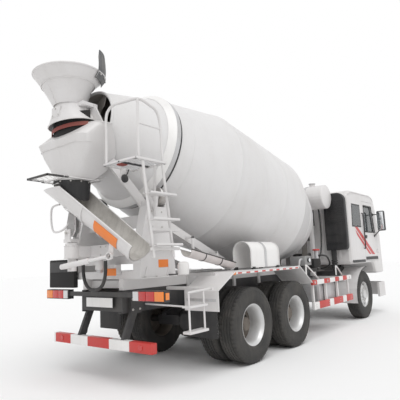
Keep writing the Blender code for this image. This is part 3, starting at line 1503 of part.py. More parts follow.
def build_hose():
    """The hanging loop of hydraulic hose."""
    curve = bpy.data.curves.new("hydraulic_hose", "CURVE")
    curve.dimensions = "3D"
    curve.bevel_depth = HOSE_RADIUS
    curve.bevel_resolution = 1
    curve.use_fill_caps = True
    run = curve.splines.new("POLY")
    run.points.add(len(HOSE_ROUTE) - 1)
    for point, place in zip(run.points, HOSE_ROUTE):
        point.co = (*place, 1)
    part("hydraulic_hose", "tyre_rubber", [settled(placed(curve))])


BUILDERS = (
    build_frame,
    build_subframe,
    build_front_axle,
    build_knuckles,
    build_drive_axles,
    build_tandem_springs,
    build_drive_line,
    build_front_wheels,
    build_twin_wheels,
    build_drum,
    build_rollers,
    build_tower,
    build_drum_gearbox,
    build_hopper,
    build_funnel,
    build_apron,
    build_platform,
    build_ladder,
    build_lower_step,
    build_swivel,
    build_chute,
    build_chute_cylinder,
    build_chute_bracket,
    build_extension_chute,
    build_rear_fenders,
    build_front_fenders,
    build_side_guards,
    build_underrun_bar,
    build_tail_lamps,
    build_side_equipment,
    build_water_tank,
    build_cab,
    build_doors,
    build_cab_inside,
    build_bumper,
    build_cab_duct,
    build_hose,
)

for build in BUILDERS:
    build()
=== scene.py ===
# %% [markdown]
# # A concrete mixer truck
# This notebook gives a three-axle mixer truck its looks. The truck's frame already exists: every
# joint, axle and bracket is in place, and nothing here moves them. Each step below says what a part
# is on the real truck, how it could be made, and why it is made this way.

import math

import bmesh
import bpy
from mathutils import Matrix, Vector


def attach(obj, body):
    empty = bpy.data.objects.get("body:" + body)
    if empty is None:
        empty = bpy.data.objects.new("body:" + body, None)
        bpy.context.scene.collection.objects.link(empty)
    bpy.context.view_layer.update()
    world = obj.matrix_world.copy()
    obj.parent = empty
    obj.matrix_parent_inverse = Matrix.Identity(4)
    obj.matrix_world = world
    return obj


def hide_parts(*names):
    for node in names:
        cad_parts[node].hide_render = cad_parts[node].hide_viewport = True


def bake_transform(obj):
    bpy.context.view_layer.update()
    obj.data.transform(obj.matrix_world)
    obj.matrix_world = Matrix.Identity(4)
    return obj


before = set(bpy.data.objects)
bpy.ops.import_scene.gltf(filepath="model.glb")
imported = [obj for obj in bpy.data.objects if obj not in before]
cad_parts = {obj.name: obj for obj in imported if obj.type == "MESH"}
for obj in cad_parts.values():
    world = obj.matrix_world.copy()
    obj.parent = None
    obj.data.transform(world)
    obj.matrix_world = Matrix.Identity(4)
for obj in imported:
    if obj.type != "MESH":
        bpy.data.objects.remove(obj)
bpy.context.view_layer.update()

# %% [markdown]
# ## The camera
# The truck is seen from behind its right rear corner, from about a driver's eye height on the
# ground. A camera could be aimed with a constraint, but three plain angles say exactly how it stands.

# %% Set up the camera
EYE = Vector((-7.4232, -4.7308, 1.5096))
YAW, PITCH, ROLL = (math.radians(a) for a in (38.684, 7.898, -2.510))
ahead = Vector((math.cos(YAW) * math.cos(PITCH), math.sin(YAW) * math.cos(PITCH), math.sin(PITCH)))
level = Vector((math.sin(YAW), -math.cos(YAW), 0))
upward = level.cross(ahead)
across = level * math.cos(ROLL) + upward * math.sin(ROLL)
upright = upward * math.cos(ROLL) - level * math.sin(ROLL)
lens = bpy.data.cameras.new("camera")
lens.lens, lens.sensor_width = 38.98, 36
camera = bpy.data.objects.new("camera", lens)
camera.matrix_world = Matrix.Translation(EYE) @ Matrix((across, upright, -ahead)).transposed().to_4x4()
bpy.context.scene.collection.objects.link(camera)
bpy.context.scene.camera = camera
bpy.context.scene.view_settings.view_transform = "Standard"
print("camera", [round(v, 3) for v in camera.location])

# %% [markdown]
# ## Finishes
# A work truck is never one clean colour: its paint greys, dust settles in patches and rain pulls
# streaks down its sides. One node group makes that dirt from noise, and each finish feeds it a
# colour and an amount. The group only hands over colour, roughness and height, so the shader itself
# stays plain.

# %% Make the weathering group
def new_group(name, inputs, outputs):
    group = bpy.data.node_groups.new(name, "ShaderNodeTree")
    for side, sockets in (("INPUT", inputs), ("OUTPUT", outputs)):
        for label, kind in sockets:
            group.interface.new_socket(label, in_out=side, socket_type=kind)
    return group, group.nodes.new("NodeGroupInput"), group.nodes.new("NodeGroupOutput")


def weathering_group():
    colour, number = "NodeSocketColor", "NodeSocketFloat"
    group, given, made = new_group(
        "weathered surface",
        [("Colour", colour), ("Dirt Colour", colour), ("Dirt", number), ("Scale", number),
         ("Gloss", number)],
        [("Colour", colour), ("Roughness", number), ("Height", number)],
    )
    nodes, link = group.nodes, group.links.new

    def noise(scale, detail, stretch=(1, 1, 1)):
        place = nodes.new("ShaderNodeTexCoord")
        map_ = nodes.new("ShaderNodeMapping")
        map_.inputs["Scale"].default_value = stretch
        link(place.outputs["Object"], map_.inputs["Vector"])
        size = nodes.new("ShaderNodeMath")
        size.operation = "MULTIPLY"
        size.inputs[1].default_value = scale
        link(given.outputs["Scale"], size.inputs[0])
        grain = nodes.new("ShaderNodeTexNoise")
        grain.inputs["Detail"].default_value = detail
        link(map_.outputs["Vector"], grain.inputs["Vector"])
        link(size.outputs[0], grain.inputs["Scale"])
        return grain.outputs["Fac"]

    def math_node(operation, first, second):
        node = nodes.new("ShaderNodeMath")
        node.operation = operation
        for socket, value in zip(node.inputs, (first, second)):
            if hasattr(value, "is_output"):
                link(value, socket)
            else:
                socket.default_value = value
        return node.outputs[0]

    def ramp(source, low, high):
        node = nodes.new("ShaderNodeMapRange")
        node.inputs["From Min"].default_value = low
        node.inputs["From Max"].default_value = high
        link(source, node.inputs["Value"])
        return node.outputs["Result"]

    patches = ramp(noise(1.6, 7), 0.42, 0.72)
    streaks = ramp(noise(9.0, 4, (1, 1, 0.12)), 0.48, 0.75)
    specks = ramp(noise(38.0, 3), 0.58, 0.70)
    dirt = math_node("ADD", math_node("MULTIPLY", patches, 0.8), math_node("MULTIPLY", streaks, 0.45))
    dirt = math_node("ADD", dirt, math_node("MULTIPLY", specks, 0.35))
    dirt = math_node("MINIMUM", math_node("MULTIPLY", dirt, given.outputs["Dirt"]), 1.0)
    mix = nodes.new("ShaderNodeMix")
    mix.data_type = "RGBA"
    link(dirt, mix.inputs["Factor"])
    link(given.outputs["Colour"], mix.inputs["A"])
    link(given.outputs["Dirt Colour"], mix.inputs["B"])
    link(mix.outputs["Result"], made.inputs["Colour"])
    rough = math_node("ADD", given.outputs["Gloss"], math_node("MULTIPLY", dirt, 0.45))
    link(math_node("MINIMUM", rough, 1.0), made.inputs["Roughness"])
    fine = noise(85.0, 4)
    link(math_node("ADD", math_node("MULTIPLY", fine, 0.6), math_node("MULTIPLY", dirt, 0.5)),
         made.inputs["Height"])
    return group


WEATHER = weathering_group()
print("group", WEATHER.name)

# %% [markdown]
# A finish is the group wired to a Principled shader and a small bump. Values that don't vary, such
# as how metallic the surface is, are set on the shader.

# %% Make the finishes
def finish(name, colour, dirt_colour=(0.30, 0.27, 0.23), dirt=0.2, rough=0.4, scale=1.0, bump=0.15,
           **shader):
    material = bpy.data.materials.new(name)
    material.use_nodes = True
    nodes, link = material.node_tree.nodes, material.node_tree.links.new
    surface = nodes["Principled BSDF"]
    weather = nodes.new("ShaderNodeGroup")
    weather.node_tree = WEATHER
    weather.inputs["Colour"].default_value = (*colour, 1)
    weather.inputs["Dirt Colour"].default_value = (*dirt_colour, 1)
    weather.inputs["Dirt"].default_value = dirt
    weather.inputs["Scale"].default_value = scale
    weather.inputs["Gloss"].default_value = rough
    height = nodes.new("ShaderNodeBump")
    height.inputs["Strength"].default_value = bump
    height.inputs["Distance"].default_value = 0.004
    link(weather.outputs["Colour"], surface.inputs["Base Color"])
    link(weather.outputs["Roughness"], surface.inputs["Roughness"])
    link(weather.outputs["Height"], height.inputs["Height"])
    link(height.outputs["Normal"], surface.inputs["Normal"])
    for socket, value in shader.items():
        surface.inputs[socket.replace("_", " ")].default_value = value
    return material


BODY = finish("body_paint", (0.715, 0.700, 0.697), (0.36, 0.33, 0.29), 0.16, 0.34)
DRUM = finish("drum_paint", (0.72, 0.712, 0.712), (0.50, 0.47, 0.44), 0.22, 0.36, 0.7)
CONCRETE = finish("concrete_stain", (0.50, 0.48, 0.45), (0.26, 0.24, 0.22), 0.8, 0.80, 2.2, 0.7)
CHASSIS = finish("chassis_black", (0.030, 0.030, 0.033), (0.20, 0.18, 0.155), 0.28, 0.50)
TYRE = finish("tyre_rubber", (0.036, 0.035, 0.034), (0.15, 0.14, 0.125), 0.45, 0.78, 2.0, 0.35)
RUBBER = finish("sheet_rubber", (0.022, 0.022, 0.023), (0.14, 0.135, 0.125), 0.28, 0.65, 1.6, 0.35)
FLAP = finish("flap_rubber", (0.105, 0.110, 0.118), (0.40, 0.38, 0.35), 0.5, 0.75, 2.0, 0.35)
HOSE = finish("hose_rubber", (0.018, 0.018, 0.019), (0.12, 0.11, 0.10), 0.3, 0.45, 3.0, 0.3)
RIM = finish("rim_silver", (0.66, 0.66, 0.66), (0.26, 0.23, 0.19), 0.32, 0.36, 1.8, 0.2, Metallic=0.35)
DISC = finish("wheel_disc", (0.125, 0.108, 0.092), (0.28, 0.24, 0.20), 0.5, 0.70, 2.4, 0.4)
STEEL = finish("worn_steel", (0.48, 0.47, 0.46), (0.20, 0.14, 0.10), 0.4, 0.38, 3.0, 0.25, Metallic=0.85)
BOLT = finish("zinc_bolt", (0.60, 0.59, 0.57), (0.28, 0.24, 0.20), 0.35, 0.34, 6.0, 0.2, Metallic=0.8)
GALVANISED = finish("galvanised_steel", (0.58, 0.58, 0.59), (0.34, 0.31, 0.28), 0.4, 0.48, 3.0, 0.25,
                    Metallic=0.4)
PLASTIC = finish("black_plastic", (0.022, 0.022, 0.024), (0.14, 0.13, 0.12), 0.22, 0.48, 2.0, 0.3)
GREY_BOX = finish("grey_plastic", (0.30, 0.30, 0.30), (0.18, 0.16, 0.14), 0.35, 0.60, 1.5, 0.3)
RED = finish("guard_red", (0.56, 0.035, 0.030), (0.26, 0.16, 0.13), 0.22, 0.38)
WHITE = finish("guard_white", (0.84, 0.83, 0.82), (0.40, 0.37, 0.33), 0.20, 0.36)
STRIPE = finish("stripe_red", (0.55, 0.030, 0.030), (0.28, 0.16, 0.13), 0.12, 0.32)
ORANGE = finish("label_orange", (0.86, 0.23, 0.035), (0.40, 0.25, 0.15), 0.18, 0.42)
PINK = finish("chalky_paint", (0.74, 0.69, 0.68), (0.40, 0.36, 0.33), 0.35, 0.55)
# A near-black finish: the colour of real dark boxes, and also painted shade in holes, openings and gaps.
DARK_AND_SHADE = finish("near_black_and_painted_shade", (0.012, 0.012, 0.013), (0.05, 0.045, 0.04), 0.4, 0.8)
RUST_RED = finish("primer_red", (0.27, 0.055, 0.045), (0.20, 0.14, 0.11), 0.4, 0.6)
LAMP_RED = finish("lamp_red", (0.55, 0.012, 0.010), (0.20, 0.10, 0.08), 0.15, 0.14, Coat_Weight=0.8)
LAMP_ORANGE = finish("lamp_orange", (0.86, 0.24, 0.02), (0.30, 0.18, 0.10), 0.15, 0.14, Coat_Weight=0.8)
LAMP_CLEAR = finish("lamp_clear", (0.72, 0.72, 0.72), (0.34, 0.32, 0.30), 0.15, 0.10, Coat_Weight=0.8)
MIRROR = finish("mirror_glass", (0.82, 0.84, 0.86), (0.45, 0.44, 0.42), 0.08, 0.04, Metallic=1.0)
GLASS = finish("window_glass", (0.045, 0.055, 0.060), (0.16, 0.15, 0.14), 0.12, 0.05, Alpha=0.72,
               Coat_Weight=0.6)
CLOTH = finish("seat_cloth", (0.065, 0.068, 0.080), (0.13, 0.12, 0.11), 0.35, 0.92, 9.0, 0.8,
               Sheen_Weight=0.3)
CAST = finish("cast_iron", (0.16, 0.155, 0.15), (0.22, 0.17, 0.13), 0.5, 0.65, 2.5, 0.5, Metallic=0.3)
print("finishes", len(bpy.data.materials))

# %% [markdown]
# ## Working shapes
# Plate, bar, tube and turned work cover nearly all of a truck. A small class keeps the shapes of
# one piece in one mesh, each with its finish, so that a bracket and its bolts are a single object.

# %% A piece and its shapes
def curve_through(points, steps=6, closed=False):
    """A smooth line through the points."""
    points = [Vector(p) for p in points]
    count = len(points)
    line = []
    for i in range(count if closed else count - 1):
        if closed:
            a, b, c, d = (points[(i + k) % count] for k in (-1, 0, 1, 2))
        else:
            a, b, c, d = points[max(i - 1, 0)], points[i], points[i + 1], points[min(i + 2, count - 1)]
        for k in range(steps):
            t = k / steps
            line.append(
                0.5 * (2 * b + (c - a) * t + (2 * a - 5 * b + 4 * c - d) * t * t
                       + (3 * b - a - 3 * c + d) * t**3)
            )
    return line if closed else line + [points[-1]]


def upright_frame(direction):
    """Two directions square to this one, the second as near to upright as it can be."""
    direction = direction.normalized()
    side = Vector((0, 0, 1)).cross(direction)
    side = Vector((0, 1, 0)) if side.length < 1e-4 else side.normalized()
    return side, direction.cross(side).normalized()


class Piece:
    """One visible piece, built from worked shapes."""

    def __init__(self, name):
        self.name, self.mesh, self.finishes = name, bmesh.new(), []

    def take(self, shape, what):
        if what not in self.finishes:
            self.finishes.append(what)
        place = self.finishes.index(what)
        for face in shape.faces:
            face.material_index = place
            face.smooth = True
        sheet = bpy.data.meshes.new("shape")
        shape.to_mesh(sheet)
        shape.free()
        self.mesh.from_mesh(sheet)
        bpy.data.meshes.remove(sheet)

    def box(self, low, high, what, edge=0.003, turn=None, pivot=None):
        low, high = Vector(low), Vector(high)
        shape = bmesh.new()
        bmesh.ops.create_cube(shape, size=1)
        middle, size = (low + high) / 2, high - low
        size = Vector([max(abs(v), 1e-4) for v in size])
        for v in shape.verts:
            v.co = middle + Vector([c * s for c, s in zip(v.co, size)])
        edge = min(edge, min(size) * 0.3)
        bmesh.ops.bevel(shape, geom=shape.edges[:], offset=edge, segments=2, affect="EDGES", profile=0.6)
        if turn is not None:
            pivot = Vector(pivot) if pivot is not None else middle
            shape.transform(Matrix.Translation(pivot) @ turn.to_4x4() @ Matrix.Translation(-pivot))
        self.take(shape, what)
        return self

    def bar(self, start, end, width, height, what, edge=0.003):
        start, end = Vector(start), Vector(end)
        side, top = upright_frame(end - start)
        shape = bmesh.new()
        bmesh.ops.create_cube(shape, size=1)
        along = end - start
        middle = (start + end) / 2
        for v in shape.verts:
            v.co = middle + along * v.co.x + side * (v.co.y * width) + top * (v.co.z * height)
        edge = min(edge, min(width, height) * 0.3)
        bmesh.ops.bevel(shape, geom=shape.edges[:], offset=edge, segments=2, affect="EDGES", profile=0.6)
        self.take(shape, what)
        return self

    def turned(self, profile, centre, axis, what, sides=48, closed=False, worked=None):
        """A (radius, along) outline turned about an axis."""
        centre, axis = Vector(centre), Vector(axis).normalized()
        side, top = upright_frame(axis)
        shape = bmesh.new()
        rings = []
        for k, (radius, along) in enumerate(profile):
            if radius < 1e-6:
                rings.append([shape.verts.new(centre + axis * along)])
                continue
            ring = []
            for i in range(sides):
                r = worked(i, radius, along) if worked else radius
                a = math.tau * i / sides
                ring.append(shape.verts.new(centre + axis * along + side * (r * math.sin(a))
                                            + top * (r * math.cos(a))))
            rings.append(ring)
        pairs = list(zip(rings, rings[1:])) + ([(rings[-1], rings[0])] if closed else [])
        for first, second in pairs:
            for i in range(sides):
                j = (i + 1) % sides
                corners = [first[i % len(first)], first[j % len(first)], second[j % len(second)],
                           second[i % len(second)]]
                corners = list(dict.fromkeys(corners))
                if len(corners) > 2:
                    shape.faces.new(corners)
        bmesh.ops.recalc_face_normals(shape, faces=shape.faces[:])
        self.take(shape, what)
        return self

    def rod(self, start, end, radius, what, sides=20, end_radius=None, edge=0.003):
        start, end = Vector(start), Vector(end)
        length = (end - start).length
        last = radius if end_radius is None else end_radius
        edge = min(edge, radius * 0.3, last * 0.3, length * 0.3)
        outline = [
            (0, 0), (radius - edge, 0), (radius, edge), (last, length - edge), (last - edge, length),
                   (0, length),
        ]
        return self.turned(outline, start, end - start, what, sides)

    def skin(self, rows, what, thickness=0.006, closed=False):
        """Plate formed through rows of points."""
        shape = bmesh.new()
        grid = [[shape.verts.new(p) for p in row] for row in rows]
        count = len(grid[0])
        for first, second in zip(grid, grid[1:]):
            for i in range(count if closed else count - 1):
                j = (i + 1) % count
                shape.faces.new((first[i], first[j], second[j], second[i]))
        bmesh.ops.recalc_face_normals(shape, faces=shape.faces[:])
        bmesh.ops.solidify(shape, geom=shape.faces[:], thickness=thickness)
        bmesh.ops.recalc_face_normals(shape, faces=shape.faces[:])
        self.take(shape, what)
        return self

    def prism(self, points, low, high, what, plane="XZ", edge=0.003):
        """A flat outline given thickness, in the truck's XZ, YZ or XY plane."""
        shape = bmesh.new()

        def at(point, depth):
            if plane == "XZ":
                return Vector((point[0], depth, point[1]))
            return Vector((depth, *point)) if plane == "YZ" else Vector((*point, depth))

        lower = [shape.verts.new(at(p, low)) for p in points]
        upper = [shape.verts.new(at(p, high)) for p in points]
        shape.faces.new(lower)
        shape.faces.new(upper)
        for i in range(len(points)):
            j = (i + 1) % len(points)
            shape.faces.new((lower[i], lower[j], upper[j], upper[i]))
        bmesh.ops.recalc_face_normals(shape, faces=shape.faces[:])
        if edge:
            edge = min(edge, abs(high - low) * 0.3)
            bmesh.ops.bevel(shape, geom=shape.edges[:], offset=edge, segments=1, affect="EDGES")
        self.take(shape, what)
        return self

    def pipe(self, points, radius, what, sides=10, steps=6, closed=False, smooth=True):
        line = curve_through(points, steps, closed) if smooth else [Vector(p) for p in points]
        shape = bmesh.new()
        rings = []
        count = len(line)
        top = None
        for i, point in enumerate(line):
            before = line[i - 1] if (i or closed) else point
            after = line[(i + 1) % count] if (i < count - 1 or closed) else point
            along = (after - before).normalized()
            if top is None:
                top = upright_frame(along)[1]
            top = (top - along * top.dot(along)).normalized()
            side = top.cross(along)
            rings.append(
                [
                    shape.verts.new(
                        point + (side * math.cos(math.tau * k / sides)
                                 + top * math.sin(math.tau * k / sides)) * radius
                    )
                    for k in range(sides)
                ]
            )
        for first, second in list(zip(rings, rings[1:])) + ([(rings[-1], rings[0])] if closed else []):
            for k in range(sides):
                shape.faces.new((first[k], first[(k + 1) % sides], second[(k + 1) % sides], second[k]))
        if not closed:
            shape.faces.new(rings[0])
            shape.faces.new(rings[-1])
        bmesh.ops.recalc_face_normals(shape, faces=shape.faces[:])
        self.take(shape, what)
        return self

    def bolt(self, place, axis, size=0.012, what=None):
        """A hexagon head on its washer."""
        place, axis = Vector(place), Vector(axis).normalized()
        what = what or BOLT
        self.rod(place, place + axis * size * 0.25, size * 1.25, what, 14, edge=0.001)
        return self.rod(place + axis * size * 0.2, place + axis * size * 0.95, size, what, 6, edge=0.0015)

    def done(self, body, slot, *nodes, angle=38):
        mesh = bpy.data.meshes.new(self.name)
        self.mesh.to_mesh(mesh)
        self.mesh.free()
        for what in self.finishes:
            mesh.materials.append(what)
        mesh.set_sharp_from_angle(angle=math.radians(angle))
        item = bpy.data.objects.new(self.name, mesh)
        bpy.context.scene.collection.objects.link(item)
        if body:
            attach(item, body)
        if nodes:
            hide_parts(*nodes)
        print(self.name, len(mesh.polygons), "faces")
        return item


def circle(centre, axis, radius, count, phase=0.0):
    """Points round a circle square to an axis."""
    side, top = upright_frame(Vector(axis))
    turns = [math.tau * (i + phase) / count for i in range(count)]
    return [Vector(centre) + (side * math.sin(a) + top * math.cos(a)) * radius for a in turns]


def degrees(start, stop, step):
    """Turns in radians from a range of whole degrees."""
    return [math.radians(a) for a in range(start, stop, step)]


def half_circle(parts):
    """Turns from 0 to half a circle, in equal parts."""
    return [math.pi * i / parts for i in range(parts + 1)]


def outward(a):
    """The level direction that points out at this turn."""
    return Vector((math.cos(a), math.sin(a), 0))


def pair(side, first, second):
    """Two distances from the truck's middle as a low and a high place across it."""
    return sorted((side * first, side * second))


def boards(cuts, *colours):
    """Each board's start, end and colour, with the colours taken in turn."""
    return [(start, end, colours[k % len(colours)]) for k, (start, end) in enumerate(zip(cuts, cuts[1:]))]


HANDS = ((1, "left"), (-1, "right"))


def paint(what, *nodes):
    """Give frame nodes that stay in sight their finish."""
    for name in nodes:
        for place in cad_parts[name].material_slots:
            place.material = what


# %% [markdown]
# ## The hydraulic hose
# A thick hose leaves the chute's bracket, hangs in a loop and goes back into it. It is a fixed length of
# stiff rubber, so its route is drawn first.

# %% Hang the hose
HOSE_ROUTE = (
    (-3.895, 0.120, 1.6045), (-3.895, 0.120, 1.560), (-3.895, 0.121, 1.500), (-3.895, 0.117, 1.410),
    (-3.895, 0.098, 1.325), (-3.895, 0.055, 1.250), (-3.895, -0.020, 1.202), (-3.895, -0.110, 1.186),
    (-3.895, -0.200, 1.202), (-3.895, -0.275, 1.250), (-3.895, -0.318, 1.325), (-3.895, -0.337, 1.410),
    (-3.895, -0.341, 1.500), (-3.895, -0.340, 1.560), (-3.895, -0.340, 1.6045),
)
hose_line = curve_through(HOSE_ROUTE, 2)
hose_curve = bpy.data.curves.new("hydraulic_hose_run", "CURVE")
hose_curve.dimensions = "3D"
hose_curve.bevel_depth, hose_curve.bevel_resolution, hose_curve.use_fill_caps = 0.022, 6, True
run = hose_curve.splines.new("POLY")
run.points.add(len(hose_line) - 1)
for point, place in zip(run.points, hose_line):
    point.co = (*place, 1)
hose_curve.materials.append(HOSE)
hose = bpy.data.objects.new("hydraulic_hose_run", hose_curve)
bpy.context.scene.collection.objects.link(hose)
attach(hose, "chassis")
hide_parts("hydraulic_hose")
ends = Piece("hose_fittings")
for end in (HOSE_ROUTE[0], HOSE_ROUTE[-1]):
    top = Vector(end)
    ends.rod(top - Vector((0, 0, 0.052)), top - Vector((0, 0, 0.010)), 0.0265, GALVANISED, 20)
    ends.rod(top - Vector((0, 0, 0.016)), top, 0.030, BOLT, 6)
ends.done("chassis", "bare_steel")

# %% [markdown]
# ## Light and floor
# Plain, even light: a pale sky all round, and one very broad lamp from above and behind, which
# leaves a soft shadow on the floor. Rays that reach the eye, or come back from glass and metal, see white.

# %% Light the truck
world = bpy.data.worlds.new("pale sky")
bpy.context.scene.world = world
world.use_nodes = True
sky, join = world.node_tree.nodes, world.node_tree.links.new
sky.clear()
rays = sky.new("ShaderNodeLightPath")
plain, seen = sky.new("ShaderNodeBackground"), sky.new("ShaderNodeBackground")
plain.inputs["Color"].default_value, plain.inputs["Strength"].default_value = (1, 1, 1, 1), 0.62
seen.inputs["Color"].default_value, seen.inputs["Strength"].default_value = (1, 1, 1, 1), 1.0
either, any_of, pick = sky.new("ShaderNodeMath"), sky.new("ShaderNodeMath"), sky.new("ShaderNodeMixShader")
either.operation = any_of.operation = "MAXIMUM"
join(rays.outputs["Is Camera Ray"], either.inputs[0])
join(rays.outputs["Is Glossy Ray"], either.inputs[1])
join(either.outputs[0], any_of.inputs[0])
join(rays.outputs["Is Transmission Ray"], any_of.inputs[1])
join(any_of.outputs[0], pick.inputs["Fac"])
join(plain.outputs[0], pick.inputs[1])
join(seen.outputs[0], pick.inputs[2])
join(pick.outputs[0], sky.new("ShaderNodeOutputWorld").inputs["Surface"])

lamp = bpy.data.lights.new("broad lamp", "SUN")
lamp.energy, lamp.angle = 1.5, math.radians(50)
sun = bpy.data.objects.new("broad lamp", lamp)
sun.rotation_euler = Vector((-0.42, -0.50, 1.0)).to_track_quat("Z", "Y").to_euler()
bpy.context.scene.collection.objects.link(sun)

floor_mesh = bpy.data.meshes.new("floor")
floor_mesh.from_pydata([(-60, -60, 0), (60, -60, 0), (60, 60, 0), (-60, 60, 0)], [], [(0, 1, 2, 3)])
floor = bpy.data.objects.new("floor", floor_mesh)
floor_mesh.materials.append(finish("pale_floor", (0.95, 0.95, 0.95), (0.93, 0.93, 0.93), 0.1, 0.9,
                                   bump=0.0))
bpy.context.scene.collection.objects.link(floor)
print("lit")

# %% [markdown]
# ## Wheels and tyres
# Each tyre is a turned body whose tread is cut by grooves round it and notched at its shoulders.
# Cutting the blocks with booleans would be slow, so the turning itself lowers the tread in places.

# %% Turn a tyre
AXLE_Z = 0.545
FRONT_AXLE_X, FRONT_WHEEL_Y = 3.14, 1.02
TWIN_AXLES = (("middle", -0.55), ("rear", -1.90))
TWIN_WHEEL_Y, TWIN_OFFSET = 0.915, 0.1725
SECTORS = 156


def tread(i, radius, along, middle):
    """The tread's radius at one sector: shoulder blocks are parted by notches."""
    across_tread = abs(along - middle)
    if radius > 0.530 and across_tread > 0.074 and i % 3 == 0:
        return radius - 0.013
    if radius > 0.530 and across_tread < 0.068 and i % 4 == 0:
        return radius - 0.006
    return radius


def add_tyre(piece, centre, axis, middle):
    half = [
        (0.288, 0.112), (0.300, 0.122), (0.330, 0.137), (0.370, 0.147), (0.415, 0.150), (0.455, 0.147),
        (0.486, 0.142), (0.492, 0.1425), (0.500, 0.139), (0.522, 0.131), (0.536, 0.124), (0.5425, 0.117),
        (0.5435, 0.076), (0.531, 0.073), (0.531, 0.066), (0.5445, 0.063), (0.545, 0.030), (0.532, 0.028),
        (0.532, 0.021), (0.545, 0.019),
    ]
    outline = [(r, middle + s) for r, s in half] + [(r, middle - s) for r, s in reversed(half)]
    piece.turned(outline, centre, axis, TYRE, SECTORS, worked=lambda i, r, s: tread(i, r, s, middle))
    for r, s in ((0.345, 0.1418), (0.468, 0.1452)):
        ridge = [(r - 0.003, middle + s - 0.002), (r, middle + s + 0.0022), (r + 0.003, middle + s - 0.002)]
        piece.turned(ridge, centre, axis, TYRE, 96)


print("tread sectors", SECTORS)

# %% [markdown]
# A front wheel's disc stands out towards its nuts, and a twin wheel's lies deep inside its rim.

# %% Build the wheels
def build_front_wheel(node, side):
    centre, axis = Vector((FRONT_AXLE_X, side * FRONT_WHEEL_Y, AXLE_Z)), Vector((0, side, 0))
    wheel = Piece(node + "_dressed")
    add_tyre(wheel, centre, axis, 0.0)
    rim = [(0.292, 0.116), (0.298, 0.119), (0.297, 0.112), (0.286, 0.106), (0.270, 0.085), (0.262, 0.050),
           (0.250, 0.045), (0.236, 0.060), (0.200, 0.088), (0.170, 0.098), (0.120, 0.098), (0.112, 0.094),
           (0.104, 0.094), (0.100, 0.128), (0.060, 0.142), (0.0, 0.144)]
    wheel.turned(rim, centre, axis, RIM, 96)
    back = [(0.292, -0.116), (0.284, -0.110), (0.262, -0.090), (0.255, 0.030), (0.20, 0.070), (0.15, 0.03),
            (0.13, -0.05), (0.047, -0.058)]
    wheel.turned(back, centre, axis, DISC, 64)
    for place in circle(centre + axis * 0.098, axis, 0.145, 10):
        wheel.bolt(place, axis, 0.017)
    # The near-black discs in the disc's hand holes are painted shade, standing for the dark space seen
    # through them.
    for place in circle(centre + axis * 0.066, axis, 0.222, 8, 0.5):
        wheel.rod(place - axis * 0.006, place + axis * 0.009, 0.021, DARK_AND_SHADE, 16, edge=0.002)
    wheel.rod(centre + axis * 0.060 + Vector((0.266, 0, 0)), centre + axis * 0.105 + Vector((0.262, 0, 0)),
              0.004, BOLT, 8)
    wheel.done(node, "wheel_rubber", node)


def build_twin_wheel(node, x, side):
    centre, axis = Vector((x, side * TWIN_WHEEL_Y, AXLE_Z)), Vector((0, side, 0))
    wheel = Piece(node + "_dressed")
    for middle in (TWIN_OFFSET, -TWIN_OFFSET):
        add_tyre(wheel, centre, axis, middle)
    lip = [(0.256, 0.030), (0.258, 0.150), (0.262, 0.240), (0.272, 0.262), (0.284, 0.276), (0.295, 0.288),
           (0.299, 0.292), (0.298, 0.297), (0.290, 0.296), (0.280, 0.284), (0.266, 0.268), (0.253, 0.246),
           (0.246, 0.170),
           (0.243, 0.060), (0.236, 0.034)]
    wheel.turned(lip, centre, axis, RIM, 96)
    disc = [(0.243, 0.070), (0.232, 0.050), (0.205, 0.036), (0.178, 0.030), (0.165, 0.030), (0.112, 0.032),
            (0.108, 0.060), (0.104, 0.150), (0.094, 0.172), (0.070, 0.178), (0.0, 0.180)]
    wheel.turned(disc, centre, axis, DISC, 96)
    inner = [(0.292, -0.287), (0.270, -0.262), (0.255, -0.20), (0.255, -0.02), (0.20, -0.015),
             (0.16, -0.045), (0.058, -0.050)]
    wheel.turned(inner, centre, axis, DISC, 64)
    for place in circle(centre + axis * 0.030, axis, 0.138, 10):
        wheel.bolt(place, axis, 0.016, DISC)
        wheel.rod(place, place + axis * 0.030, 0.009, STEEL, 10)
    # The near-black discs in the disc's hand holes are painted shade, standing for the dark space seen
    # through them.
    for place in circle(centre + axis * 0.037, axis, 0.205, 8, 0.5):
        wheel.rod(place - axis * 0.004, place + axis * 0.006, 0.023, DARK_AND_SHADE, 18, edge=0.002)
    for place in circle(centre + axis * 0.172, axis, 0.078, 8):
        wheel.bolt(place, axis, 0.008, DISC)
    wheel.done(node, "wheel_rubber", node)


for side, hand in HANDS:
    build_front_wheel(f"front_{hand}_wheel", side)
    for row, x in TWIN_AXLES:
        build_twin_wheel(f"{row}_{hand}_twin_wheel", x, side)

# %% [markdown]
# ## The drum
# A mixer's drum is rolled from cones of thin plate, welded end to end. The seams show as fine
# raised rings, so the turned outline carries them. Inside, two spiral blades lift the concrete.

# %% Measure the drum
TILT = math.radians(12)
RING_CENTRE = Vector((-3.04, 0, 3.177))
DRUM_AXIS = Vector((math.cos(TILT), 0, -math.sin(TILT)))
DRUM_UP = Vector((math.sin(TILT), 0, math.cos(TILT)))
SHELL = ((-0.90, 0.52), (0.0, 0.85), (1.20, 1.16), (3.34, 1.17), (4.37, 0.85), (4.53, 0.58), (4.59, 0.30),
         (4.61, 0.0))
SEAMS = (0.30, 1.20, 1.93, 2.63, 3.34, 4.05)


def on_drum(s, up=0.0, y=0.0):
    return RING_CENTRE + DRUM_AXIS * s + DRUM_UP * up + Vector((0, y, 0))


def drum_out(turn):
    """The direction out from the drum's axis at this turn."""
    return DRUM_UP * math.cos(turn) + Vector((0, math.sin(turn), 0))


def shell_radius(s):
    for (s0, r0), (s1, r1) in zip(SHELL, SHELL[1:]):
        if s0 <= s <= s1:
            return r0 + (r1 - r0) * (s - s0) / (s1 - s0)
    return 0.0


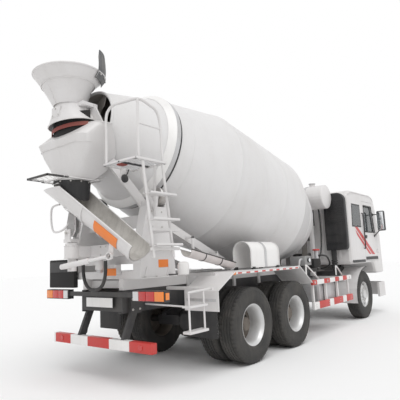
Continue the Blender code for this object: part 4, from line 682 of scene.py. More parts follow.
def drum_outline():
    stops = sorted({s for s, r in SHELL} | {round(-0.9 + 0.1 * k, 3) for k in range(1, 53)})
    points = [(shell_radius(s), s) for s in stops if s > -0.86 and min(abs(s - m) for m in SEAMS) > 0.03]
    for s in SEAMS:
        r = shell_radius(s)
        points += [(r - 0.001, s - 0.016), (r + 0.0025, s - 0.007), (r + 0.0035, s),
                   (r + 0.0025, s + 0.007), (r - 0.001, s + 0.016)]
    return sorted(points, key=lambda p: p[1])


print("drum seams at", SEAMS)

# %% [markdown]
# The shell, its concrete lining, the spiral blades, the drive flange and the hatch are one piece,
# since they all turn together.

# %% Turn the drum
drum = Piece("drum_shell")
outer = drum_outline()
lip = [(0.500, -0.880), (0.505, -0.897), (0.520, -0.904), (0.534, -0.898), (0.540, -0.884), (0.534, -0.868)]
drum.turned(lip + outer, RING_CENTRE, DRUM_AXIS, DRUM, 128)
inner = [(max(shell_radius(s) - 0.014, 0.0), s) for s in (-0.88, -0.45, 0.0, 0.6, 1.2, 2.3, 3.34, 4.0, 4.36,
                                                          4.50)]
drum.turned(inner + [(0.0, 4.55)], RING_CENTRE, DRUM_AXIS, CONCRETE, 96)
for start in (0.0, 0.5):
    inside, edge_line = [], []
    for k in range(111):
        s = -0.84 + 4.9 * k / 110
        turn = math.tau * (start + s / 1.45)
        out = drum_out(turn)
        r = shell_radius(s) - 0.012
        inside.append(on_drum(s) + out * r)
        edge_line.append(on_drum(s + 0.04) + out * (r - min(0.16 + 0.10 * k / 110, r * 0.45)))
    drum.skin([inside, edge_line], CONCRETE, 0.007)
drum.rod(on_drum(4.605), on_drum(4.67), 0.20, STEEL, 32)
for place in circle(on_drum(4.615), -DRUM_AXIS, 0.175, 12):
    drum.bolt(place, -DRUM_AXIS, 0.014)
hatch = math.radians(118)
out = drum_out(hatch)
place = on_drum(2.27) + out * 1.155
drum.rod(place, place + out * 0.026, 0.21, DRUM, 40)
for spot in circle(place + out * 0.026, out, 0.175, 10):
    drum.bolt(spot, out, 0.012)
drum.done("drum", "body_paint", "drum", angle=28)


# %% [markdown]
# The ring is a forged track that the rollers carry. A thin bright band runs where they touch it.

# %% Turn the drum's ring
ring = Piece("drum_track_ring")
profile = [(0.806, -0.130), (0.856, -0.085), (0.888, -0.050), (0.895, -0.040), (0.895, 0.040),
           (0.884, 0.045),
           (0.8745, 0.048), (0.8735, 0.052)]
ring.turned(profile[:4], RING_CENTRE, DRUM_AXIS, WHITE, 128)
ring.turned(profile[3:5], RING_CENTRE, DRUM_AXIS, GALVANISED, 128)
ring.turned(profile[4:], RING_CENTRE, DRUM_AXIS, WHITE, 128)
# The black band just ahead of the ring is painted shade, standing for the dark gap between the ring's front
# edge and the drum's belly.
ring.turned([(0.8735, 0.050), (0.8760, 0.054), (0.8815, 0.078), (0.8790, 0.084)], RING_CENTRE, DRUM_AXIS,
            CHASSIS, 128)
ring.done("drum", "bare_steel", "drum_ring", angle=28)
paint(STEEL, "left_roller", "right_roller")

# %% [markdown]
# ## The charging hopper
# The hopper is a spun bowl with a rolled edge, a short square throat and a rubber flap that stands
# on its right front edge. The bowl is lofted through ovals, and the edge is a tube bent round the
# top one. Plates below it guide the concrete down into the funnel.

# %% Form the hopper
def oval(x, z, long, wide, count=64):
    turns = [math.tau * i / count for i in range(count)]
    return [Vector((x + long * math.cos(a), wide * math.sin(a), z)) for a in turns]


BOWL = (
    (-4.190, 3.995, 0.452, 0.468), (-4.194, 3.955, 0.424, 0.444), (-4.200, 3.900, 0.370, 0.408),
    (-4.206, 3.850, 0.318, 0.374), (-4.207, 3.800, 0.288, 0.344), (-4.200, 3.740, 0.262, 0.308),
    (-4.190, 3.670, 0.238, 0.268), (-4.176, 3.600, 0.217, 0.232), (-4.170, 3.580, 0.210, 0.220),
)
hopper = Piece("charging_hopper_bowl")
hopper.skin([oval(*level) for level in BOWL], BODY, 0.007, closed=True)
hopper.skin([oval(x, z + 0.002, a - 0.009, b - 0.009) for x, z, a, b in BOWL], CONCRETE, 0.003, closed=True)
hopper.pipe(oval(-4.19, 3.996, 0.449, 0.465, 48), 0.0125, BODY, 10, 2, closed=True)
hopper.pipe(oval(-4.206, 3.846, 0.322, 0.378, 48), 0.006, BODY, 8, 1, closed=True)
print("bowl levels", len(BOWL))

# %% [markdown]
# A tongue leads into the drum's mouth. The flap is a bent sheet of rubber with a clipped corner.

# %% Lay the tongue and stand the flap
tongue_end = on_drum(-0.90) + Vector((0.20, 0, 0.06))
rows = []
for t in (0.0, 0.35, 0.7, 1.0):
    middle = Vector((-4.33, 0, 3.605)).lerp(tongue_end, t)
    rows.append([middle + Vector((0, 0.18 * math.sin(a), 0.055 * (1 - math.cos(a)))) for a in
                 degrees(-90, 91, 15)])
hopper.skin(rows, CONCRETE, 0.008)
flap_turns = degrees(-74, -27, 4)


def flap_row(z, out):
    return [Vector((-4.19 + (0.452 + out) * math.cos(a), (0.468 + out) * math.sin(a), z))
            for a in flap_turns]


flap = [flap_row(*level) for level in ((3.90, -0.045), (3.97, 0.006), (4.08, 0.014), (4.18, 0.010),
                                       (4.285, 0.0))]
flap[-1][0] = flap[-1][1]
hopper.skin(flap, FLAP, 0.010)
hopper.skin([flap_row(3.915, -0.028), flap_row(3.985, 0.020)], BODY, 0.004)
for a in (-68, -52, -36):
    out = outward(math.radians(a))
    hopper.bolt(Vector((-4.19, 0, 3.955)) + Vector((out.x * 0.462, out.y * 0.478, 0)), out, 0.012)
hopper.prism([(-4.50, 3.80), (-4.44, 3.86), (-4.37, 3.62), (-4.40, 3.59)], -0.006, 0.006, BODY)
print("flap bolts on")

# %% [markdown]
# A curved skirt and a red strip close the space between the bowl and the drum, and a near-black sheet
# behind them is painted shade in that gap.

# %% Guide the concrete below the bowl
skirt = []
for z, long, wide in ((3.585, 0.215, 0.225), (3.46, 0.240, 0.30), (3.335, 0.250, 0.40)):
    skirt.append([Vector((-4.145 - long * math.cos(a), wide * math.sin(a), z)) for a in
                  degrees(-125, 126, 10)])
hopper.skin(skirt, BODY, 0.006)
hopper.pipe(skirt[-1], 0.008, BODY, 8, 1)
strips = [Vector((-4.10 - 0.225 * math.cos(a), 0.42 * math.sin(a), 3.25)) for a in degrees(-70, 71, 10)]
hopper.skin([strips, [p + Vector((0, 0, 0.05)) for p in strips]], RUST_RED, 0.006)
# This near-black sheet is painted shade, standing for the dark gap between the bowl and the drum's mouth.
hopper.skin([[p + Vector((0.03, 0, -0.10)) for p in strips], [p + Vector((0.03, 0, 0.20)) for p in strips]],
            DARK_AND_SHADE, 0.004)
hopper.box((-4.392, -0.085, 3.40), (-4.372, 0.085, 3.53), BODY, 0.003)
for y, z in ((-0.06, 3.42), (0.06, 3.42), (0.0, 3.51)):
    hopper.bolt((-4.392, y, z), (-1, 0, 0), 0.010)
hopper.done("chassis", "body_paint", "charging_hopper")

# %% [markdown]
# ## The collecting funnel
# Under the drum's mouth a folded bucket gathers what falls out. Its back is rounded and its front
# open towards the drum. It is lofted through rounded U shapes, with a rolled edge and a seam.

# %% Shape the bucket
def bucket(rear, front, half, z, inset=0.0):
    rear, half = rear + inset, half - inset
    bend = min(0.17, half * 0.6, (front - rear) * 0.7)
    points = [Vector((front, -half, z))]
    for centre_y in (-(half - bend), half - bend):
        for k in range(9):
            turn = math.radians(270 - 90 * k / 8) if centre_y < 0 else math.radians(180 - 90 * k / 8)
            points.append(Vector((rear + bend + bend * math.cos(turn), centre_y + bend * math.sin(turn),
                                  z)))
    return points + [Vector((front, half, z))]


LEVELS = ((-4.17, -3.94, 0.55, 3.28), (-4.38, -3.87, 0.53, 3.10), (-4.34, -3.80, 0.46, 2.92),
          (-4.31, -3.80, 0.36, 2.76),
          (-4.30, -3.98, 0.22, 2.585))
print("funnel levels", len(LEVELS))

# %% Form the funnel
funnel = Piece("collecting_funnel_bucket")
funnel.skin([bucket(*level) for level in LEVELS], BODY, 0.006)
funnel.skin([bucket(*level, inset=0.010) for level in LEVELS], CONCRETE, 0.003)
funnel.pipe(bucket(*LEVELS[0]), 0.011, BODY, 8, 1)
funnel.pipe([p + Vector((-0.004, 0, 0)) for p in bucket(-4.36, -3.835, 0.495, 3.01)[1:-1]], 0.005, BODY, 8,
            1)
funnel.bar((-3.995, 0, 2.583), (-3.80, 0, 2.655), 0.50, 0.010, BODY)
for side in (1, -1):
    funnel.bar((-3.86, side * 0.42, 2.83), (-3.42, side * 0.56, 2.265), 0.05, 0.12, BODY, 0.008)
    funnel.bar((-3.70, side * 0.47, 3.34), (-3.41, side * 0.56, 3.0), 0.04, 0.05, BODY)
    low, high = pair(side, 0.52, 0.71)
    funnel.box((-3.48, low, 2.2353), (-3.36, high, 2.315), BODY, 0.005)
    for x in (-3.455, -3.385):
        funnel.bolt((x, side * 0.615, 2.315), (0, 0, 1), 0.012)
    funnel.bar((-4.02, side * 0.50, 3.16), (-4.04, side * 0.30, 3.53), 0.03, 0.10, BODY)
    low, high = pair(side, 0.19, 0.34)
    funnel.box((-4.22, low, 3.5265), (-3.99, high, 3.5765), BODY, 0.004)
    for x in (-4.19, -4.03):
        funnel.bolt((x, side * 0.315, 3.577), (0, 0, 1), 0.009)
print("funnel feet on")

# %% [markdown]
# A square flange and a turned neck end the funnel, with a small mesh step behind them.

# %% Fit the outlet's flange and mesh step
funnel.box((-4.42, -0.27, 2.578), (-4.375, 0.27, 2.592), BODY)
funnel.box((-3.925, -0.27, 2.578), (-3.90, 0.27, 2.592), BODY)
for side in (1, -1):
    low, high = pair(side, 0.222, 0.27)
    funnel.box((-4.42, low, 2.578), (-3.90, high, 2.592), BODY)
swivel = Vector((-4.15, 0, 0))
funnel.turned([(0.213, 2.531), (0.225, 2.531), (0.225, 2.585), (0.232, 2.592), (0.213, 2.592)], swivel,
              (0, 0, 1), BODY, 64, closed=True)
funnel.turned([(0.2255, 2.548), (0.228, 2.550), (0.228, 2.566), (0.2255, 2.568)], swivel, (0, 0, 1), BOLT,
              64)
for low, high in (((-4.645, -0.225, 2.578), (-4.42, -0.205, 2.602)),
                  ((-4.645, 0.205, 2.578), (-4.42, 0.225, 2.602)),
                  ((-4.645, -0.225, 2.578), (-4.625, 0.225, 2.602))):
    funnel.box(low, high, CHASSIS, 0.002)
for i in range(4):
    for j in range(9):
        x, y, flip = -4.625 + i * 0.05, -0.205 + j * 0.0455, (i + j) % 2
        funnel.bar((x, y + 0.0455 * flip, 2.585), (x + 0.05, y + 0.0455 * (1 - flip), 2.587), 0.005, 0.007,
                   WHITE, 0.001)
funnel.done("chassis", "body_paint", "collecting_funnel")

# %% [markdown]
# ## The rubber apron
# A skirt of thick rubber hangs round the funnel's outlet and reaches into the chute, so that nothing
# splashes out. On the truck it is fixed above and drags along with the chute below; here its mesh is drawn
# once, already bent between the two, and rides on no moving part.

# %% Hang the apron
apron = Piece("apron_skirt")
ANGLES = degrees(28, 333, 8)


def apron_depth(a):
    """How low the rubber reaches: lowest towards the outlet."""
    towards = math.cos(a - math.radians(280))
    return 2.528 - 0.215 * max(towards, 0.0) ** 0.8


rows = []
for k in range(13):
    t = k / 12
    row = []
    for a in ANGLES:
        z = 2.572 + (apron_depth(a) - 2.572) * t
        r = 0.2335 + 0.004 * math.sin(7 * a) * t - 0.018 * t * t
        row.append(Vector((-4.15 + r * math.cos(a), r * math.sin(a), z)))
    rows.append(row)
apron.skin(rows, RUBBER, 0.006)
for a in range(40, 330, 32):
    out = outward(math.radians(a))
    apron.bolt(swivel + Vector((0, 0, 2.556)) + out * 0.236, out, 0.009)
skirt_piece = apron.done(None, "rubber", "rubber_apron")

# %% [markdown]
# ## The platform and ladder
# A thin frame of angle iron holds expanded mesh, so that concrete and water fall through. The mesh
# is made as real strands, because from below its open diamonds are what one sees.

# %% Build the platform
platform = Piece("platform_frame")
X0, X1, Y0, Y1, TOP = -4.12, -3.62, -1.18, -0.60, 2.72
for low, high in (((X0, Y0, TOP - 0.03), (X1, Y0 + 0.006, TOP)),
                  ((X0, Y1 - 0.006, TOP - 0.03), (X1, Y1, TOP)),
                  ((X0, Y0, TOP - 0.03), (X0 + 0.006, Y1, TOP)),
                  ((X1 - 0.006, Y0, TOP - 0.03), (X1, Y1, TOP))):
    platform.box(low, high, BODY, 0.002)
for low, high in (((X0, Y0, TOP - 0.03), (X1, Y0 + 0.03, TOP - 0.025)),
                  ((X0, Y1 - 0.03, TOP - 0.03), (X1, Y1, TOP - 0.025)),
                  ((X0, Y0, TOP - 0.03), (X0 + 0.03, Y1, TOP - 0.025)),
                  ((X1 - 0.03, Y0, TOP - 0.03), (X1, Y1, TOP - 0.025))):
    platform.box(low, high, BODY, 0.001)
platform.box((X0, -0.90, TOP - 0.029), (X1, -0.872, TOP - 0.008), CHASSIS, 0.002)


def strand(start, end):
    platform.bar(start, end, 0.004, 0.006, GALVANISED, 0.001)


STEP_X, STEP_Y = 0.048, 0.024
columns, lines = int((X1 - X0) / STEP_X), int((Y1 - Y0) / STEP_Y)
for i in range(columns):
    for j in range(lines):
        x, y = X0 + 0.008 + i * STEP_X, Y0 + 0.008 + j * STEP_Y
        if (i + j) % 2:
            strand((x, y, TOP - 0.012), (x + STEP_X, y + STEP_Y, TOP - 0.010))
        else:
            strand((x, y + STEP_Y, TOP - 0.012), (x + STEP_X, y, TOP - 0.010))
print("mesh", columns * lines, "strands")

# %% [markdown]
# The rail is one bent tube with a post and a middle bar. Brackets carry the platform, and a work
# lamp hangs under it.

# %% Bend the hand rail
rear, front, inside, outside = X0 + 0.03, X1 - 0.03, Y1 - 0.03, Y0 + 0.03
top = TOP + 0.72
platform.pipe(
    [(rear, inside, TOP - 0.015), (rear, inside, 3.0), (rear, inside, 3.29),
     (rear + 0.01, inside - 0.04, 3.395),
     (rear + 0.02, inside - 0.13, top), (rear + 0.04, -0.92, top),
     (rear + 0.05, outside + 0.10, top - 0.002),
     (rear + 0.07, outside + 0.02, top - 0.010), (rear + 0.14, outside, top - 0.020),
     (front - 0.20, outside, top - 0.050),
     (front - 0.10, outside, top - 0.085), (front - 0.045, outside, top - 0.17),
     (front - 0.015, outside, 3.10),
     (front, outside, TOP - 0.015)],
    0.017, BODY, 14, 5,
)
platform.pipe([(rear + 0.045, outside, TOP - 0.015), (rear + 0.045, outside, top - 0.008)], 0.015, BODY, 12,
              smooth=False)
platform.pipe([(rear + 0.045, outside, 3.13), (front - 0.01, outside, 3.13)], 0.012, BODY, 12, smooth=False)
for y in (-1.04, -0.78):
    platform.bar((-3.67, y, TOP - 0.016), (-3.42, -0.755, 2.095), 0.03, 0.05, BODY)
platform.box((-3.50, -0.7603, 1.935), (-3.26, -0.7303, 2.195), BODY, 0.004)
for x in (-3.47, -3.29):
    for z in (1.965, 2.165):
        platform.bolt((x, -0.7603, z), (0, -1, 0), 0.012)
platform.rod((-3.82, -0.66, 2.57), (-3.82, -0.635, 2.57), 0.052, CHASSIS, 32)
platform.rod((-3.82, -0.664, 2.57), (-3.82, -0.655, 2.57), 0.030, PLASTIC, 24)
platform.pipe([(-3.805, -0.65, 2.60), (-3.78, -0.652, 2.635), (-3.756, -0.655, 2.69)], 0.008, CHASSIS, 10)
platform.box((-3.86, -0.635, 2.52), (-3.78, -0.605, 2.70), BODY, 0.004)
platform.box((-4.03, -0.83, 2.69), (-3.93, -0.74, 2.712), RUST_RED, 0.006)
platform.done("chassis", "body_paint", "platform")


# %% [markdown]
# Two tubes carry three folded treads with punched studs for grip.

# %% Build the ladder
ladder = Piece("ladder_frame")
LADDER_Y = -1.155
for x in (-3.99, -3.66):
    ladder.pipe([(x, LADDER_Y, 2.6872), (x + 0.147, LADDER_Y, 1.56)], 0.018, BODY, 14, smooth=False)
for z in (2.31, 2.01, 1.71):
    back = -4.01 + (2.6872 - z) * 0.13
    for low, high in (((back, LADDER_Y - 0.09, z - 0.015), (back + 0.45, LADDER_Y - 0.084, z + 0.014)),
                      ((back, LADDER_Y + 0.029, z - 0.015), (back + 0.45, LADDER_Y + 0.035, z + 0.014)),
                      ((back, LADDER_Y - 0.09, z - 0.015), (back + 0.45, LADDER_Y + 0.035, z - 0.010))):
        ladder.box(low, high, BODY, 0.002)
    for k in range(9):
        for y in (-0.055, 0.0):
            ladder.rod((back + 0.03 + k * 0.049, LADDER_Y + y, z - 0.012),
                       (back + 0.03 + k * 0.049, LADDER_Y + y, z - 0.004), 0.013, GALVANISED, 12)
for z in (1.89, 1.66):
    ladder.box((-3.90, LADDER_Y - 0.012, z - 0.017), (-3.40, LADDER_Y + 0.013, z + 0.018), BODY)
    ladder.box((-3.44, LADDER_Y - 0.008, z - 0.015), (-3.41, -0.7303, z + 0.015), BODY)
ladder.done("chassis", "body_paint", "ladder")

# %% [markdown]
# ## The discharge chute
# The chute is a tapering half pipe with folded rims, worn inside to bare grey by the concrete. It is
# drawn in its post's own frame, lofted, and cut level at the top as the plate is.

# %% Lay out the chute
POST = Matrix.Translation((-4.15, 0, 0)) @ Matrix.Rotation(math.radians(-80), 4, "Z")
SLOPE = math.radians(37.2)
FALL = Vector((-math.sin(SLOPE), 0, -math.cos(SLOPE)))


def swung(*place):
    return POST @ Vector(place)


def chute_point(x, a, inset=0.0):
    share = (x + 0.215) / 1.315
    radius = 0.28 - 0.08 * share - inset
    rim = Vector((x, 0, 2.69 - (x + 0.215) * math.tan(SLOPE)))
    return POST @ (rim + Vector((0, radius * math.cos(a), 0)) + FALL * (radius * math.sin(a)))


class Trough(Piece):
    def trough(self, what, thickness, inset, cut):
        shape = bmesh.new()
        arcs = half_circle(32)
        grid = [[shape.verts.new(chute_point(-0.215 + 1.315 * k / 24, a, inset)) for a in arcs]
                for k in range(25)]
        for first, second in zip(grid, grid[1:]):
            for i in range(32):
                shape.faces.new((first[i], first[i + 1], second[i + 1], second[i]))
        bmesh.ops.bisect_plane(shape, geom=shape.verts[:] + shape.edges[:] + shape.faces[:],
                               plane_co=(0, 0, cut),
                               plane_no=(0, 0, 1), clear_outer=True)
        bmesh.ops.recalc_face_normals(shape, faces=shape.faces[:])
        bmesh.ops.solidify(shape, geom=shape.faces[:], thickness=thickness)
        bmesh.ops.recalc_face_normals(shape, faces=shape.faces[:])
        self.take(shape, what)


print("chute slope", round(math.degrees(SLOPE), 1), "degrees")

# %% Form the chute
chute = Trough("discharge_chute_trough")
chute.trough(BODY, 0.005, -0.003, 2.49)
chute.trough(CONCRETE, 0.003, 0.008, 2.486)
for a in (0.02, math.pi - 0.02):
    line = [chute_point(x, a, -0.002) for x in (0.055, 0.3, 0.6, 0.9, 1.10)]
    chute.pipe(line, 0.011, BODY, 10, smooth=False)
for x, wide in ((0.42, 0.030), (1.085, 0.034)):
    rows = [[chute_point(x + d, math.pi * k / 24, -0.012) for k in range(25)] for d in (-wide / 2,
                                                                                        wide / 2)]
    chute.skin(rows, BODY, 0.006)
for x in (0.16, 0.66):
    rows = [[chute_point(x + d, math.radians(52 + 76 * k / 12), -0.016) for k in range(13)]
            for d in (-0.012, 0.012)]
    chute.skin(rows, BODY, 0.005)
chute.bar(swung(0.03, 0, 2.145), swung(0.72, 0, 1.735), 0.030, 0.030, GALVANISED, 0.004)
label = [[chute_point(x, math.radians(a), -0.0105) for a in range(128, 171, 6)] for x in (0.62, 0.70, 0.78,
                                                                                          0.86, 0.94)]
chute.skin(label, ORANGE, 0.001)
for side in (1, -1):
    low, high = pair(side, 0.030, 0.054)
    points = [(-0.04, 1.88), (0.04, 1.87), (0.10, 1.94), (0.10, 2.15), (0.0, 2.19), (-0.04, 2.02)]
    shape_points = [swung(x, low, z) for x, z in points], [swung(x, high, z) for x, z in points]
    chute.skin(shape_points, BODY, 0.004, closed=True)
    for row in shape_points:
        plate = bmesh.new()
        plate.faces.new([plate.verts.new(p) for p in row])
        bmesh.ops.solidify(plate, geom=plate.faces[:], thickness=0.004)
        chute.take(plate, BODY)
    chute.bolt(swung(0.0, side * 0.105, 1.92), POST.to_3x3() @ Vector((0, side, 0)), 0.014)
eye = Vector((0.74, -0.16, 1.60))
chute.bar(swung(eye.x - 0.01, eye.y + 0.031, eye.z - 0.028),
          swung(eye.x + 0.02, eye.y + 0.031, eye.z + 0.145), 0.018, 0.07, BODY)
chute.rod(swung(eye.x, eye.y - 0.016, eye.z), swung(eye.x, eye.y + 0.03, eye.z), 0.012, STEEL, 16)
chute.pipe([swung(*p) for p in ((-0.15, -0.06, 2.30), (-0.30, -0.06, 2.25), (-0.275, -0.06, 1.97),
                                (-0.10, -0.06, 1.965), (0.02, -0.035, 2.08))],
           0.013, BODY, 12, 6)
chute.done("chute", "body_paint", "chute")

# %% [markdown]
# The bracket holds the chute's post in two collars. Its pump and an orange box hang from it.

# %% Dress the chute's bracket
paint(BODY, "chute_swivel", "chute_bracket", "chute_cylinder", "chute_rod")
bracket = Piece("chute_bracket_fittings")
for z in (1.598, 1.752):
    bracket.turned([(0.060, z), (0.100, z), (0.102, z + 0.004), (0.100, z + 0.009), (0.060, z + 0.009)],
                   swivel, (0, 0, 1), BODY, 40, closed=True)
for place in circle((-4.15, 0, 1.761), (0, 0, 1), 0.083, 6):
    bracket.bolt(place, (0, 0, 1), 0.008)
bracket.prism([(-4.05, 1.62), (-3.93, 1.62), (-3.93, 1.50)], -0.006, 0.006, BODY)
for y in (-0.38, -0.28, 0.16):
    for z in (1.63, 1.73):
        bracket.bolt((-3.9205, y, z), (-1, 0, 0), 0.010)
bracket.rod((-3.80, -0.10, 1.44), (-3.80, -0.10, 1.60), 0.055, BODY, 28)
bracket.rod((-3.80, -0.10, 1.40), (-3.80, -0.10, 1.45), 0.038, GALVANISED, 24)
bracket.box((-3.765, -0.37, 1.36), (-3.750, -0.15, 1.45), ORANGE, 0.002)
bracket.box((-3.75, -0.36, 1.37), (-3.66, -0.16, 1.50), BODY, 0.004)
bracket.done("chassis", "body_paint")

# %% [markdown]
# ## The tower and the stowed chute length
# Welded box columns carry the drum's rollers. Their shape is right already, so they keep it, and get
# the gussets, seams, boxes and valves that hang on them.

# %% Dress the tower
paint(BODY, "drum_tower", "subframe", "lower_step", "water_tank")
SEAM_Z = 1.70
tower = Piece("tower_fittings")
for side in (1, -1):
    face = side * 0.7305
    low, high = sorted((face, face + side * 0.004))
    tower.box((-3.655, low, SEAM_Z - 0.006), (-3.045, high, SEAM_Z + 0.006), BODY, 0.002)
    low, high = sorted((face, face + side * 0.030))
    tower.box((-3.66, low, 1.3106), (-3.02, high, 1.325), BODY, 0.003)
    for x in (-3.60, -3.40, -3.20, -3.08):
        tower.bolt((x, face + side * 0.016, 1.325), (0, 0, 1), 0.012)
    for x in (-3.56, -3.16):
        tower.prism([(x - 0.05, 1.325), (x + 0.05, 1.325), (x, 1.46)], *sorted((face, face + side * 0.008)),
                    BODY, edge=0.001)
tower.box((-3.347, -0.7345, 1.44), (-3.166, -0.7300, 1.54), ORANGE, 0.001)
tower.box((-3.55, -0.79, 1.690), (-3.04, -0.7305, 1.700), BODY, 0.002)
tower.turned([(0.0, 1.335), (0.070, 1.335), (0.075, 1.345), (0.075, 1.455), (0.066, 1.487), (0.040, 1.500),
              (0.0, 1.503)],
             (-3.145, -0.98, 0), (0, 0, 1), WHITE, 36)
tower.bar((-3.145, -0.98, 1.34), (-3.145, -0.73, 1.34), 0.05, 0.012, CHASSIS)
tower.box((-3.74, 0.55, 1.20), (-3.67, 1.16, 1.60), DARK_AND_SHADE, 0.012)
tower.box((-3.745, 0.58, 1.42), (-3.735, 1.13, 1.57), PLASTIC, 0.004)
tower.done("chassis", "body_paint")


# %% [markdown]
# A spare length of chute lies along the right side, open side up, on two hooks.

# %% Form the stowed chute length
stowed = Piece("extension_chute_trough")
REAR, FRONT = Vector((-2.98, -0.90, 1.66)), Vector((-1.86, -0.84, 1.45))


def stowed_row(t, inset=0.0):
    middle = REAR.lerp(FRONT, t)
    radius = 0.10 - 0.01 * t - inset
    return [middle + Vector((0, radius * math.cos(a), -radius * math.sin(a))) for a in half_circle(20)]


stowed.skin([stowed_row(t) for t in (0, 0.25, 0.5, 0.75, 1)], PINK, 0.005)
stowed.skin([stowed_row(t, 0.006) for t in (0, 0.5, 1)], CONCRETE, 0.002)
for k in (0, 20):
    stowed.pipe([stowed_row(0)[k], stowed_row(1)[k]], 0.008, CHASSIS, 8, smooth=False)
for t in (0.30, 0.66):
    stowed.skin([stowed_row(t - 0.008, -0.006), stowed_row(t + 0.008, -0.006)], CHASSIS, 0.004)
for x, y, z in ((-2.70, -0.6182, 1.85), (-2.10, -0.5636, 1.63)):
    rim = REAR.lerp(FRONT, (x + 2.98) / 1.12)
    edge = rim.y + 0.10
    stowed.box((x - 0.02, edge - 0.012, rim.z - 0.03), (x + 0.02, edge + 0.012, z), BODY)
    stowed.box((x - 0.02, edge - 0.012, z - 0.03), (x + 0.02, y - 0.0475, z), BODY)
stowed.done("chassis", "body_paint", "extension_chute")

# %% [markdown]
# ## The drum's drive
# A hydraulic motor turns a gearbox on the front support. It keeps the frame's castings and gains
# flange bolts, ribs and hose unions.

# %% Dress the drive
paint(CAST, "drum_gearbox", "engine_block", "propeller_shaft")
drive = Piece("drum_drive_fittings")
for place in circle(on_drum(4.83), DRUM_AXIS, 0.255, 16):
    drive.bolt(place - DRUM_AXIS * 0.022, -DRUM_AXIS, 0.012)
for k in range(3):
    s = 4.90 + 0.09 * k
    drive.turned([(0.279, s), (0.288, s + 0.008), (0.288, s + 0.018), (0.279, s + 0.026)], RING_CENTRE,
                 DRUM_AXIS, CAST, 48)
drive.rod(on_drum(5.17), on_drum(5.30), 0.12, CHASSIS, 32)
drive.rod(on_drum(5.30), on_drum(5.40), 0.085, CHASSIS, 32)
for y in (-0.05, 0.05):
    drive.pipe([on_drum(5.34, 0.07, y), on_drum(5.38, 0.16, y * 1.5), on_drum(5.30, 0.24, y * 2.4),
                on_drum(5.05, 0.30, y * 3)], 0.014, HOSE, 10)
drive.done("chassis", "body_paint")

# %% [markdown]
# ## Fenders and mud flaps
# The rear fenders are folded plate. A rolled lip along each outer edge catches the light, a
# reflective strip runs below it, and heavy rubber hangs behind.

# %% Dress the fenders
paint(BODY, "left_rear_fender", "right_rear_fender", "left_front_fender", "right_front_fender")
for side, hand in HANDS:
    fender = Piece(f"{hand}_rear_fender_trim")
    y = side * 1.248
    fender.pipe([(-2.78, y, 0.83), (-2.78, y, 1.10), (-2.36, y, 1.33), (-0.36, y, 1.33), (0.10, y, 1.02)],
                0.009, BODY, 8, smooth=False)
    low, high = pair(side, 1.243, 1.2525)
    fender.box((-2.34, low, 1.292), (-0.40, high, 1.320), WHITE, 0.002)
    fender.box((-2.40, low, 1.285), (-2.345, high, 1.322), LAMP_ORANGE, 0.003)
    for k in range(9):
        x = -2.30 + k * 0.22
        low, high = pair(side, 1.2520, 1.2545)
        fender.box((x, low, 1.296), (x + 0.10, high, 1.316), RED, 0.001)
    low, high = pair(side, 0.70, 1.21)
    fender.box((-2.776, low, 0.48), (-2.757, high, 1.00), RUBBER, 0.004)
    fender.box((-2.782, low, 0.955), (-2.775, high, 0.995), GALVANISED, 0.002)
    for k in range(5):
        fender.bolt((-2.782, side * (0.75 + 0.105 * k), 0.975), (-1, 0, 0), 0.009)
    for x in (-2.42, -1.22, -0.42):
        for dx in (-0.018, 0.018):
            fender.bolt((x + dx, side * 0.90, 1.3305), (0, 0, 1), 0.009)
    fender.done("chassis", "body_paint")
    arch = Piece(f"{hand}_front_fender_trim")
    arc = degrees(90, 196, 7)
    y = side * 1.233
    arch.pipe([(FRONT_AXLE_X + 0.735 * math.cos(a), y, 0.565 + 0.615 * math.sin(a)) for a in arc], 0.010,
              RUBBER, 8, 1)
    arch.done("chassis", "body_paint")

# %% [markdown]
# ## Side guards
# Red and white boards mark the truck's sides. Each colour is a thin sleeve over the frame's rail, a
# little proud of it, as tape and paint edges are.

# %% Dress the side guards
paint(BODY, "left_side_guard", "right_side_guard")
for side, hand in HANDS:
    guard = Piece(f"{hand}_side_guard_boards")
    low, high = pair(side, 1.2525, 1.2075)
    cuts = [0.118, 0.34, 0.82, 1.02, 1.50, 1.70, 2.062]
    for start, end, colour in boards(cuts, WHITE, RED):
        guard.box((start, low, 0.527), (end, high, 0.653), colour, 0.003)
    cuts = [0.118, 0.30, 0.62, 0.90, 1.16, 1.36, 1.58, 1.80, 2.062]
    for start, end, colour in boards(cuts, RED, WHITE):
        guard.box((start, low, 0.967), (end, high, 1.053), colour, 0.003)
    for x in (0.20, 0.78, 1.36, 1.94):
        for z in (0.57, 0.61, 0.99, 1.03):
            guard.bolt((x, side * 1.2525, z), (0, side, 0), 0.008)
        guard.rod((x, side * 1.2525, 1.01), (x, side * 1.2605, 1.01), 0.020, GALVANISED, 20)
    guard.done("chassis", "body_paint")

# %% [markdown]
# ## The rear end
# The underrun bar is a red and white channel on raking arms. Above it sit the lamp boxes, each with
# red, orange and clear lenses behind a thin frame, and a blank plate.

# %% Dress the rear end
paint(CHASSIS, "chassis_frame", "front_axle", "middle_axle", "rear_axle", "left_tandem_spring",
      "right_tandem_spring",
      "underrun_bar", "tail_lamp_bar", "battery_box")
paint(STEEL, "left_knuckle", "right_knuckle")
rear_end = Piece("underrun_boards")
cuts = [-0.988, -0.60, -0.22, 0.22, 0.60, 0.988]
for start, end, colour in boards(cuts, RED, WHITE):
    rear_end.box((-3.7635, start, 0.447), (-3.6765, end, 0.570), colour, 0.003)
rear_end.box((-3.766, 0.955, 0.444), (-3.674, 0.992, 0.573), WHITE, 0.003)
for y in (-0.80, 0.80):
    rear_end.rod((-3.763, y, 0.508), (-3.772, y, 0.508), 0.036, LAMP_RED, 28)
for side in (1, -1):
    rear_end.prism([(-3.53, 0.96), (-3.60, 0.87), (-3.70, 0.58), (-3.62, 0.58)], *pair(side, 0.415, 0.428),
                   CHASSIS)
    for z in (0.92, 1.05):
        for x in (-3.57, -3.45):
            rear_end.bolt((x, side * 0.4705, z), (0, side, 0), 0.013)
rear_end.done("chassis", "black_paint")


